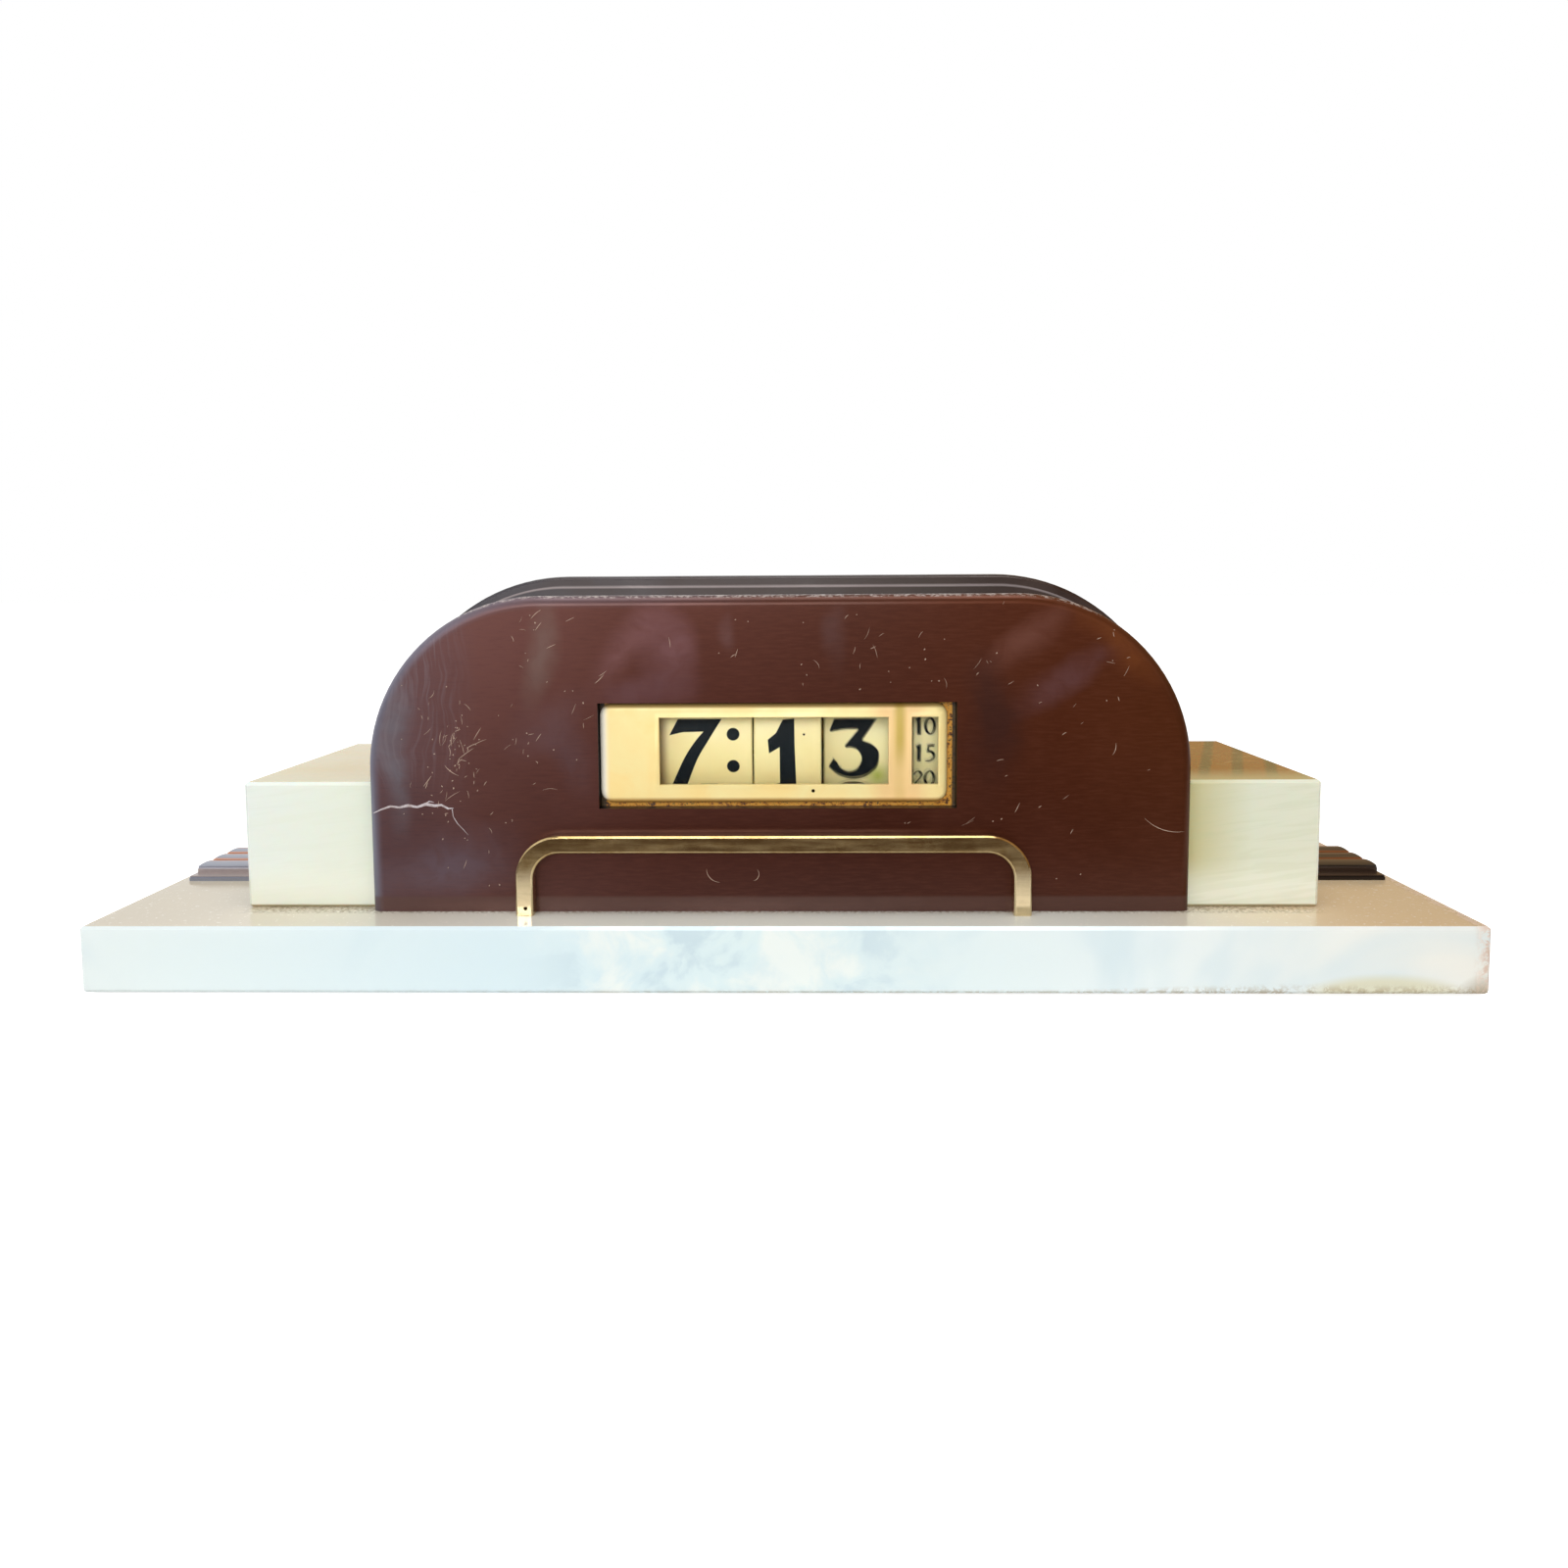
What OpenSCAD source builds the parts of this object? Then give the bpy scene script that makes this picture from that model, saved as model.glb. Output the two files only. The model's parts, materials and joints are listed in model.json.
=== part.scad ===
// Cyclometer clock: a drum movement in an arched bronze case, on a slab of onyx.
// X runs across the front, -Y faces the reader and +Z is up. The origin is the
// middle of the underside, and every length is in millimetres.

/* [Slab] */
// Width of the onyx slab
slab_w = 330; // [310:1:380]
// Depth of the onyx slab, front to back
slab_d = 100; // [96:1:130]
// Thickness of the onyx slab
slab_h = 16; // [14:0.5:24]
// Thickness of the felt glued under the slab
felt_t = 1; // [0.5:0.1:2]
// How far the felt stays inside the slab's edges
felt_inset = 5; // [2:0.5:12]
// Width of the bevel that eases every onyx edge
onyx_bevel = 0.8; // [0.3:0.1:2]

/* [Onyx wings] */
// How far the onyx blocks stay inside the slab's ends
wing_inset = 32.5; // [24:0.5:40]
// Height of a wing above the slab
wing_h = 31.5; // [26:0.5:34]
// Depth of a wing, front to back
wing_d = 73; // [66:1:80]

/* [Case] */
// Width of the front plate
case_w = 200; // [190:1:212]
// Height of the front plate above the slab
case_h = 77.2; // [75:0.1:84]
// Radius of the front plate's upper corners
case_corner = 42.5; // [36:0.5:46]
// Depth from the front plate's face to the back of the rear cover
case_d = 75; // [73:0.5:79]
// Distance from the slab's front to the front plate's face
case_setback = 13.4; // [10:0.1:16]
// Thickness of the front plate
front_t = 3.8; // [3:0.1:6]
// Radius of the front plate's rounded rim
front_rim = 2.4; // [1:0.1:2.8]
// Wall of the case shell
shell_t = 2; // [1.2:0.1:3]
// How far the shell and rear cover stay inside the front plate's outline
reveal = 0.5; // [0.2:0.1:1]
// Thickness of the rear cover
cover_t = 1.5; // [1:0.1:2]
// Width of the opening for the bezel
aperture_w = 86.8; // [86:0.1:90]
// Height of the opening for the bezel
aperture_h = 25.8; // [25.2:0.1:28]
// Height of the opening's centre above the slab
aperture_rise = 38.35; // [37:0.05:40]
// Side of the square lugs that take the case's studs and screws
lug = 9; // [8:0.5:11]
// Thickness of a front lug
lug_t = 3; // [2:0.5:4]
// Length of a rear lug and height of a bolt lug
lug_l = 9; // [7:0.5:12]

/* [Reeded moulding] */
// Reeds side by side in the moulding
reeds = 3; // [2:1:4]
// Width of one reed
reed_pitch = 8.1; // [6:0.1:8.4]
// Depth of the flat lip along each side of the reeds
lip_d = 4.6; // [3:0.1:6]
// Distance from the slab's front to the moulding's front
moulding_setback = 43.6; // [38:0.1:46]
// Height of the lip on the end strips
strip_lip = 1.3; // [0.8:0.1:2.5]
// Height of the reeds on the end strips
strip_reed = 3.2; // [2.6:0.1:5]
// Height of the lip where the moulding crosses the case
crown_lip = 2.2; // [1:0.1:2.8]
// Height of the reeds where the moulding crosses the case
crown_reed = 5; // [3.6:0.1:7]
// How far the end strips stay inside the slab's ends
strip_inset = 3.5; // [2:0.5:14]

/* [Rail] */
// Width of the brass rail in front of the case
rail_w = 124.4; // [100:0.1:160]
// Height of the rail above the slab
rail_h = 19.5; // [17:0.1:22]
// Side of the rail's square bar
rail_bar = 4.2; // [3:0.1:5]
// Outer radius of the rail's bends
rail_corner = 10.6; // [7:0.1:14]
// How far the rail stands to the right of the middle
rail_shift = -1.2; // [-3:0.1:3]
// Length of the studs under the rail's feet
rail_stud_l = 12.5; // [12:0.5:14]

/* [Bezel] */
// Width of the raised part of the bezel
bezel_w = 84.6; // [83:0.1:85.6]
// Height of the raised part of the bezel
bezel_h = 24.5; // [23:0.1:25]
// How far the bezel's face lies behind the front plate's face
bezel_sunk = 1; // [0.5:0.1:1.5]
// Corner radius of the bezel's face
bezel_corner = 3.2; // [2.6:0.1:4]
// Radius that rolls the bezel's face into its sides
bezel_roll = 1.8; // [0.8:0.1:2]
// Thickness of the bezel's sheet brass
sheet_t = 0.5; // [0.3:0.05:0.8]
// Width of the bezel's flange behind the front plate
flange_w = 3.5; // [2:0.5:5]
// Width of the main window
window_w = 55.6; // [50:0.1:57]
// Height of both windows
window_h = 16.5; // [14:0.1:17]
// Centre of the main window from the middle, to the right
window_x = -0.85; // [-2:0.05:1]
// Centre of the windows above the centre of the bezel
window_rise = 1.05; // [0:0.05:1.5]
// Width of the seconds window
seconds_window_w = 6.4; // [5:0.05:7]
// Width of the bar between the two windows
mullion_w = 5.6; // [5:0.1:6]
// Width of the raised lip round each window
window_lip = 1.2; // [0.6:0.1:1.6]
// Height of that lip over the face
window_lip_h = 0.4; // [0.2:0.05:0.6]
// Thickness of the clear pane
pane_t = 0.8; // [0.5:0.1:1.5]

/* [Drums] */
// Distance from one figure to the next round a drum
figure_pitch = 16.4; // [15.6:0.1:16.8]
// Left end of the hour drum
drums_x = -30.4; // [-32:0.1:-29.6]
// Width of the hour drum
hour_w = 24.1; // [23:0.1:26]
// Width of the tens-of-minutes drum
tens_w = 16.7; // [16:0.1:18]
// Width of the minutes drum
units_w = 16.6; // [16:0.1:18]
// Gap between the hour drum and the tens drum
first_seam = 0.4; // [0.3:0.05:1]
// Gap between the tens drum and the minutes drum
second_seam = 0.6; // [0.3:0.05:1]
// Radius of the seconds drum
seconds_r = 26; // [25:0.1:26.4]
// Width of the seconds drum
seconds_w = 7.2; // [6:0.1:8]
// Wall of a drum's rim
rim_t = 1.4; // [1:0.1:2]
// Thickness of a drum's web
web_t = 1.2; // [0.8:0.1:2]
// Radius of a drum's hub, inside the reach of the carry pinions
hub_r = 4.7; // [4.2:0.1:4.9]
// Gap between the pane and the drums
pane_gap = 0.8; // [0.5:0.1:1.5]

/* [Movement frame] */
// Thickness of the movement's upright plates
plate_t = 1.2; // [0.8:0.1:2]
// Radius of the pillars between the plates
pillar_r = 2.5; // [2:0.1:3]
// Radius of the fixed arbor that carries the drums
arbor_r = 3; // [2.5:0.1:3.5]
// Radius of the thin turning arbors
pivot_r = 1.5; // [1.2:0.05:1.8]
// Thickness of the movement's foot plate
foot_t = 1.5; // [1:0.1:2.5]

/* [Gears] */
// Teeth of the ring that turns a drum at a carry
carry_ring_n = 24; // [24:12:24]
// Teeth of a carry pinion
carry_pinion_n = 8; // [8:2:8]
// Distance from the main arbor to a carry pinion
carry_dist = 12.8; // [12:0.1:13.4]
// Teeth of the ring inside the minutes drum
units_ring_n = 48; // [48:12:48]
// Teeth of the lay pinion that drives that ring
lay_pinion_n = 12; // [12:3:12]
// Distance from the main arbor to the lay arbor
lay_dist = 15.1; // [14.6:0.1:15.6]
// Teeth of the lay wheel
lay_wheel_n = 25; // [25:5:25]
// Teeth of the seconds pinion that drives the lay wheel
seconds_pinion_n = 20; // [20:4:20]
// Teeth of the setting gear round the minutes drum
set_gear_n = 60; // [60:5:60]
// Teeth of the setting pinion
set_pinion_n = 15; // [15:5:15]
// Side play cut from each flank of a tooth
tooth_play = 0.06; // [0.04:0.01:0.1]
// Width of the carry and minutes rings
ring_w = 3.5; // [3:0.1:4]

/* [Setting wheel] */
// Thickness of the setting wheel
set_wheel_t = 2.4; // [2:0.1:4]
// Face width of the setting gear and its pinion
set_gear_t = 1.4; // [1:0.1:2]
// How far the setting wheel stands out of the rear cover
set_proud = 2.6; // [1.5:0.1:3.5]
// Scallops round the setting wheel
set_scallops = 36; // [20:1:48]

/* [Motor] */
// Radius of the motor's sealed can
can_r = 17; // [15:0.5:19]
// Depth of the motor's sealed can
can_d = 14; // [11:0.5:18]
// Thickness of the stack of laminations
core_t = 8; // [6:0.5:10]
// Width of the laminations
core_w = 46; // [44:0.5:50]
// Height of the core's lower limb, which carries the coil
limb_h = 8; // [6:0.5:9]
// Thickness of the winding round that limb
winding_t = 3; // [2:0.1:3.4]
// Length of the coil along the core's lower limb
coil_w = 26; // [20:0.5:28]

/* [Cord inlet] */
// Width of the terminal block
terminal_w = 22; // [18:0.5:24]
// Depth of the terminal block
terminal_d = 10; // [8:0.5:12]
// Height of the terminal block
terminal_h = 8; // [6:0.5:10]
// Inner radius of the rubber bush for the cord
inlet_r = 3.25; // [2.5:0.05:4]
// Distance of the cord inlet from the case's right side
inlet_inset = 28; // [24:0.5:32]
// Height of the cord inlet above the slab
inlet_rise = 15; // [13:0.5:20]

/* [Fasteners] */
// Radius of the bolts up through the slab
bolt_r = 2; // [1.5:0.1:2.5]
// Radius of the small screws and studs
screw_r = 1.5; // [1:0.1:1.8]
// Free length of the tapped holes past a screw's end
tap_spare = 1; // [0.5:0.1:2]
// Radial clearance of a shaft that turns in its hole
run_play = 0.05; // [0.02:0.01:0.09]
// Radial clearance of a bolt through a plain hole
hole_play = 0.3; // [0.2:0.05:0.5]
// Radial clearance between a screw and its tapped hole
thread_play = 0.03; // [0.02:0.01:0.06]
// End play of the turning parts along their arbors
end_play = 0.3; // [0.2:0.05:0.4]

/* [Hidden] */
$fn = 96;

bronze = "#4e251c";
gilt = "#e8c777";
onyx = "#e6ebdd";
ivory = "#e9dfa4";
steel = "#8d9196";
brass = "#c8a24c";

// Heights and depths that the pieces share
deck_z = felt_t + slab_h;
slab_front = -slab_d / 2;
case_y = slab_front + case_setback;
wing_y = case_y + front_t;
moulding_y = slab_front + moulding_setback;
moulding_d = reeds * reed_pitch + 2 * lip_d;
shell_out = case_w / 2 - reveal;
strip_span = slab_w - 2 * strip_inset;
wing_span = slab_w - 2 * wing_inset;
inlet_x = case_w / 2 - inlet_inset;
cover_y = case_y + case_d - cover_t;
window_z = deck_z + aperture_rise + window_rise;
seconds_window_x = window_x + window_w / 2 + mullion_w + seconds_window_w / 2;

// Radii of the drums, and the arbor that they turn on
hour_r = figure_pitch * 12 / (2 * PI);
units_r = figure_pitch * 10 / (2 * PI);
axis_y = case_y + front_t + sheet_t + pane_t + pane_gap + hour_r;
axis_z = window_z;

// Stations along the arbor, left to right
left_room = 3;
side_room = 1;
right_room = 1.5;
gear_gap = 0.5;
arm_room = 3.5;
hour_arm_in = 1;
tens_arm_out = 1.4;
units_web_in = 7.6;
left_x = drums_x - left_room - plate_t;
tens_x = drums_x + hour_w + first_seam;
units_x = tens_x + tens_w + second_seam;
middle_x = units_x + units_w + set_gear_t + side_room;
wheel_x = middle_x + plate_t + gear_gap;
wheel_t = 1.4;
wheel_gap = 0.3;
seconds_x = wheel_x + wheel_t + wheel_gap;
right_x = seconds_x + seconds_w + right_room;
stage_l = ring_w + arm_room;
hour_arm_x = tens_x + hour_arm_in;
tens_arm_x = units_x - tens_arm_out;
hour_web_x = hour_arm_x - stage_l - web_t;
tens_web_x = tens_arm_x - stage_l - web_t;
units_web_x = units_x + units_web_in;
arm_t = 1.2;
arm_boss = 2.8;

// Gear sizes that follow from the centre distances
carry_m = 2 * carry_dist / (carry_ring_n - carry_pinion_n);
set_gear_in = 0.9;
lay_wheel_m = 2 * lay_dist / (lay_wheel_n + seconds_pinion_n);
lay_pinion_m = 2 * lay_dist / (units_ring_n - lay_pinion_n);
set_m = 2 * (units_r - set_gear_in) / (set_gear_n + 2);
set_dist = set_m * (set_gear_n + set_pinion_n) / 2;
set_angle = -25;
set_y = axis_y + set_dist * cos(set_angle);
set_z = axis_z + set_dist * sin(set_angle);
set_wheel_r = cover_y + cover_t + set_proud - set_y;
set_wheel_boss = 0.8;
set_wheel_x = right_x + plate_t + end_play + set_wheel_boss;
pinion_tip = carry_pinion_n * carry_m / 2 + 0.8 * carry_m;
finger_gap = 0.4;
finger_t = 2.4;
finger_w = 2.6;
finger_r = carry_dist + pinion_tip + finger_gap;

// Places of the pillars and the outline of the movement's plates
drum_gap = 2.5;
plate_edge = 1.2;
short_in = 4;
pillar_off = (hour_r + pillar_r + drum_gap) / sqrt(2);
short_off = pillar_off - short_in;
plate_half = pillar_off + pillar_r + plate_edge;
foot_top = deck_z + foot_t;
foot_half_d = plate_half - pillar_r;
tab_w = 8;
spigot_r = 1.5;
bush_wall = 1.4;
nut_h = 2;
thread_out = 0.6;

// Places of the fasteners
lug_side_x = shell_out - shell_t - lug / 2;
lug_low_z = 24;
lug_top_x = case_w / 2 - case_corner - lug;
lug_top_z = case_h - reveal - shell_t - lug / 2;
lug_spots = [[-lug_side_x, lug_low_z], [lug_side_x, lug_low_z],
             [-lug_top_x, lug_top_z], [lug_top_x, lug_top_z]];
bolt_lug = 13;
bolt_lug_x = shell_out - shell_t - bolt_lug / 2;
bolt_lug_in = 8;
bolt_lug_ys = [case_y + front_t + lug_t + bolt_lug_in, cover_y - lug_l - bolt_lug_in];
wing_bolt_in = 18;
wing_bolt_x = (shell_out + wing_span / 2) / 2;
wing_bolt_ys = [wing_y + wing_bolt_in, wing_y + wing_d - wing_bolt_in];
foot_bolt_in = 18;
foot_bolt_off = 17;
foot_bolt_xs = [left_x + foot_bolt_in, middle_x - foot_bolt_in];
foot_bolt_ys = [axis_y - foot_bolt_off, axis_y + foot_bolt_off];
foot_boss_h = 3;
foot_edge = 3;
recess_r = 5.5;
recess_h = 6;
head_h = 3;
rail_y = case_y - rail_bar;
rail_leg_x = rail_w / 2 - rail_bar / 2;

// Plane shapes

module eased_rect(w, h, c) {
    x = w / 2;
    y = h / 2;
    polygon([[-x + c, -y], [x - c, -y], [x, -y + c], [x, y - c],
             [x - c, y], [-x + c, y], [-x, y - c], [-x, -y + c]]);
}

module arch2d(w, h, r) intersection() {
    translate([-w / 2, 0]) square([w, h]);
    union() {
        translate([-w / 2, 0]) square([w, h - r]);
        translate([r - w / 2, 0]) square([w - 2 * r, h]);
        for (side = [-1, 1]) translate([side * (w / 2 - r), h - r]) circle(r);
    }
}

// The moulding across its reeds: a lip, the reeds and a lip, seat at x = 0, lying along y
module reeded2d(lip, reed, seat = 0) {
    shoulder = 0.9;
    groove = 1;
    sag = 0.35;
    crest = (pow(reed_pitch / 2, 2) + sag * sag) / (2 * sag);
    translate([-seat, 0]) square([seat + lip - shoulder / 2, moulding_d]);
    translate([-seat, shoulder / 2]) square([seat + lip, moulding_d - shoulder]);
    translate([0, lip_d]) square([reed - groove, reeds * reed_pitch]);
    for (i = [0 : reeds - 1]) translate([0, lip_d + i * reed_pitch])
        intersection() {
            translate([reed - crest, reed_pitch / 2]) circle(crest, $fn = 360);
            union() {
                translate([lip / 2, shoulder / 2]) square([reed, reed_pitch - shoulder]);
                for (y = [shoulder, reed_pitch - shoulder])
                    translate([reed - sag - shoulder, y]) circle(shoulder / 2 + 0.35);
            }
        }
}

// Involute gear outlines. A gear has a tooth on +x; out and in are the lengths of the
// tooth over and under the pitch circle, and play is what each flank gives up.
function involute(a) = tan(a) * 180 / PI - a;
function flank(n, rp, rb, play, r) =
    90 / n - play / rp * 180 / PI + involute(acos(rb / rp)) - involute(acos(min(1, rb / r)));

module gear2d(n, m, out, in, play) {
    rp = n * m / 2;
    rb = rp * cos(25);
    foot = max(rb, rp - in + 0.02);
    radii = [rp - in, foot, (foot + rp + out) / 2, rp + out];
    polygon([for (k = [0 : n - 1], side = [-1, 1], i = [0 : 3])
        let (r = radii[side < 0 ? i : 3 - i],
             a = 360 * k / n + side * flank(n, rp, rb, play, r))
        [r * cos(a), r * sin(a)]]);
}

module pinion2d(n, m) gear2d(n, m, 0.8 * m, 1.15 * m, tooth_play);
module ring_hole2d(n, m) gear2d(n, m, 1.05 * m, 0.55 * m, -tooth_play);

// Solids on a few common bases

// A block with every edge eased, standing on z = 0 with its middle at x = 0, y = 0
module eased_block(w, d, h, c) {
    intersection() {
        linear_extrude(h) eased_rect(w, d, c);
        translate([0, d / 2, h / 2]) rotate([90, 0, 0]) linear_extrude(d) eased_rect(w, h, c);
        translate([-w / 2, 0, h / 2]) rotate([90, 0, 90]) linear_extrude(w) eased_rect(d, h, c);
    }
}

// Stands a plane shape upright, from y = 0 to y = t
module upright(t) translate([0, t, 0]) rotate([90, 0, 0]) linear_extrude(t) children();

// Carries a profile up the right side from z = start, round the arch and down the left.
// The profile's x is its height over the arch and its y is its depth.
module arch_sweep(w, h, r, start = 0) {
    for (side = [0, 1]) mirror([side, 0, 0]) {
        translate([0, 0, start]) linear_extrude(h - r - start) translate([w / 2, 0]) children();
        translate([w / 2 - r, 0, h - r]) rotate([-90, 0, 0]) rotate([0, 0, -90])
            rotate_extrude(angle = 90) translate([r, 0]) children();
    }
    translate([w / 2 - r, 0, 0]) rotate([0, -90, 0])
        linear_extrude(w - 2 * r) translate([h, 0]) children();
}

module in_case() translate([0, case_y, deck_z]) children();

// Puts a shape drawn in the plate's plane, y then z, at station x on a shaft along X
module on_shaft(x, y = axis_y, z = axis_z) translate([x, y, z]) rotate([90, 0, 90]) children();

module rod(x0, x1, r, y = axis_y, z = axis_z) on_shaft(x0, y, z) cylinder(r = r, h = x1 - x0);

module hex_nut(r, h) cylinder(r = 1.9 * r, h = h, $fn = 6);

// A bolt from a recess in the slab's underside, with its shank up to z = top
module slab_bolt(x, y, r, top) {
    seat = felt_t + recess_h;
    translate([x, y, seat - head_h]) cylinder(r = recess_r - 1.5, h = head_h);
    translate([x, y, seat - 0.5]) cylinder(r = r, h = top - seat + 0.5);
}

module slab_hole(x, y, r) {
    translate([x, y, felt_t - 1]) cylinder(r = r + hole_play, h = slab_h + 2);
    translate([x, y, felt_t - 1]) cylinder(r = recess_r, h = recess_h + 1);
}

// Onyx, felt and mouldings

module onyx_slab() color(onyx) {
    difference() {
        translate([0, 0, felt_t]) eased_block(slab_w, slab_d, slab_h, onyx_bevel);
        for (side = [-1, 1]) {
            for (y = bolt_lug_ys) slab_hole(side * bolt_lug_x, y, bolt_r);
            for (y = wing_bolt_ys) slab_hole(side * wing_bolt_x, y, bolt_r);
            slab_hole(rail_shift + side * rail_leg_x, rail_y + rail_bar / 2, screw_r);
        }
        for (x = foot_bolt_xs, y = foot_bolt_ys) slab_hole(x, y, bolt_r);
    }
}

module felt_sheet() color("#2f4a38")
    translate([felt_inset - slab_w / 2, felt_inset - slab_d / 2, 0])
        cube([slab_w - 2 * felt_inset, slab_d - 2 * felt_inset, felt_t]);

wing_grip = 14;

module wing(side) color("#dfe3c4") {
    w = wing_span / 2 - shell_out;
    difference() {
        translate([side * (shell_out + w / 2), wing_y + wing_d / 2, deck_z])
            eased_block(w, wing_d, wing_h, onyx_bevel);
        for (y = wing_bolt_ys) translate([side * wing_bolt_x, y, deck_z - 1])
            cylinder(r = bolt_r + thread_play, h = wing_grip + tap_spare + 1);
    }
}

module wing_left() wing(-1);
module wing_right() wing(1);

module wing_bolts() color(steel)
    for (side = [-1, 1], y = wing_bolt_ys) slab_bolt(side * wing_bolt_x, y, bolt_r, deck_z + wing_grip);

module strip(side) color("#5a2c1c") {
    length = (strip_span - wing_span) / 2;
    translate([side > 0 ? wing_span / 2 : -strip_span / 2, moulding_y, deck_z])
        translate([length, 0, 0]) rotate([0, -90, 0])
            linear_extrude(length) reeded2d(strip_lip, strip_reed);
}

module strip_left() strip(-1);
module strip_right() strip(1);

module crown_moulding() color("#3c221c")
    translate([0, moulding_y, deck_z])
        arch_sweep(case_w, case_h, case_corner, wing_h)
            reeded2d(crown_lip, crown_reed, reveal);

// Rail

module brass_rail() color(gilt) {
    bevel = 0.4;
    translate([rail_shift, rail_y, deck_z])
        arch_sweep(rail_w, rail_h, rail_corner)
            translate([-rail_bar / 2, rail_bar / 2]) eased_rect(rail_bar, rail_bar, bevel);
    for (side = [-1, 1])
        translate([rail_shift + side * rail_leg_x, rail_y + rail_bar / 2, deck_z - rail_stud_l])
            cylinder(r = screw_r, h = rail_stud_l + 1);
}

module rail_nuts() color(brass)
    for (side = [-1, 1])
        translate([rail_shift + side * rail_leg_x, rail_y + rail_bar / 2, felt_t + recess_h - nut_h])
            difference() {
                hex_nut(screw_r, nut_h);
                translate([0, 0, -1]) cylinder(r = screw_r + thread_play, h = nut_h + 2);
            }

// Case

stud_l = lug_t + nut_h + thread_out;

module case_front() color(bronze) in_case() {
    difference() {
        union() {
            upright(front_t)
                arch2d(case_w - 2 * front_rim, case_h - front_rim, case_corner - front_rim);
            arch_sweep(case_w, case_h, case_corner) {
                translate([-front_rim, front_rim]) square([front_rim, front_t - front_rim]);
                translate([-front_rim, front_rim]) intersection() {
                    circle(front_rim);
                    translate([0, -front_rim]) square(front_rim);
                }
            }
        }
        translate([-aperture_w / 2, -1, aperture_rise - aperture_h / 2])
            cube([aperture_w, front_t + 2, aperture_h]);
    }
    for (spot = lug_spots) translate([spot[0], front_t - 0.5, spot[1]])
        rotate([-90, 0, 0]) cylinder(r = screw_r, h = stud_l + 0.5);
}

module front_nuts() color(brass) in_case()
    for (spot = lug_spots) translate([spot[0], front_t + lug_t, spot[1]]) rotate([-90, 0, 0])
        difference() {
            hex_nut(screw_r, nut_h);
            translate([0, 0, -1]) cylinder(r = screw_r + thread_play, h = nut_h + 2);
        }

module case_lug(spot, depth) translate([spot[0] - lug / 2, 0, spot[1] - lug / 2]) cube([lug, depth, lug]);

module case_shell() color("#3a1f1a") {
    in_case() difference() {
        union() {
            arch_sweep(case_w, case_h, case_corner)
                translate([-reveal - shell_t, front_t]) square([shell_t, case_d - cover_t - front_t]);
            for (spot = lug_spots) {
                translate([0, front_t, 0]) case_lug(spot, lug_t);
                translate([0, case_d - cover_t - lug_l, 0]) case_lug(spot, lug_l);
            }
        }
        for (spot = lug_spots) translate([spot[0], 0, spot[1]]) rotate([-90, 0, 0]) {
            translate([0, 0, front_t - 1]) cylinder(r = screw_r + hole_play, h = lug_t + 2);
            translate([0, 0, case_d - cover_t - lug_l + 1]) cylinder(r = screw_r + thread_play, h = lug_l);
        }
    }
    for (side = [-1, 1], y = bolt_lug_ys) difference() {
        translate([side * bolt_lug_x - bolt_lug / 2, y - bolt_lug / 2, deck_z])
            cube([bolt_lug, bolt_lug, lug_l]);
        translate([side * bolt_lug_x, y, deck_z - 1])
            cylinder(r = bolt_r + thread_play, h = lug_l - tap_spare + 1);
    }
}

module case_bolts() color(steel)
    for (side = [-1, 1], y = bolt_lug_ys)
        slab_bolt(side * bolt_lug_x, y, bolt_r, deck_z + lug_l - 2 * tap_spare);

slot_play = 0.8;
vent_n = 7;
vent_pitch = 4.4;
vent_w = 1.8;
vent_l = 34;
vent_x = -46;

module rear_cover() color("#4a3026") {
    reach = set_wheel_r + slot_play;
    inner = cover_y - set_y;
    slot_half = sqrt(reach * reach - inner * inner);
    difference() {
        translate([0, cover_y, deck_z]) upright(cover_t)
            arch2d(case_w - 2 * reveal, case_h - reveal, case_corner - reveal);
        for (spot = lug_spots) translate([spot[0], cover_y - 1, deck_z + spot[1]])
            rotate([-90, 0, 0]) cylinder(r = screw_r + hole_play, h = cover_t + 2);
        translate([set_wheel_x - slot_play, cover_y - 1, set_z - slot_half])
            cube([set_wheel_t + 2 * slot_play, cover_t + 2, 2 * slot_half]);
        translate([inlet_x, cover_y - 1, deck_z + inlet_rise])
            rotate([-90, 0, 0]) cylinder(r = inlet_r + 1.75, h = cover_t + 2);
        for (i = [0 : vent_n - 1])
            translate([vent_x - vent_l / 2, cover_y - 1, axis_z + (i - (vent_n - 1) / 2) * vent_pitch])
                cube([vent_l, cover_t + 2, vent_w]);
    }
}

module rear_screws() color(brass)
    for (spot = lug_spots) translate([spot[0], cover_y + cover_t, deck_z + spot[1]])
        rotate([90, 0, 0]) {
            cylinder(r = screw_r, h = cover_t + lug_l - 1 - tap_spare);
            translate([0, 0, -1.6]) cylinder(r = 1.9 * screw_r, h = 1.6);
        }

module cord_inlet() color("#1d1b1a")
    translate([inlet_x, cover_y - 2, deck_z + inlet_rise]) rotate([-90, 0, 0])
        rotate_extrude() difference() {
            translate([inlet_r, 0]) square([3.25, cover_t + 4]);
            translate([inlet_r + 1.75, 2]) square([2, cover_t]);
        }

// Bezel and pane

bezel_d = front_t - bezel_sunk;
bezel_z = deck_z + aperture_rise;
bezel_x = -1;
bezel_up = 0.5;

// The rolled form of the bezel's pan, with its face towards +z
module pillow(w, h, d, corner, roll) {
    hull() for (x = [-1, 1], y = [-1, 1])
        translate([x * (w / 2 - corner), y * (h / 2 - corner), 0]) {
            cylinder(r = corner, h = d - roll, $fn = 32);
            translate([0, 0, d - roll]) rotate_extrude($fn = 32) intersection() {
                translate([corner - roll, 0]) circle(roll, $fn = 24);
                square([corner, roll]);
            }
        }
}

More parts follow.
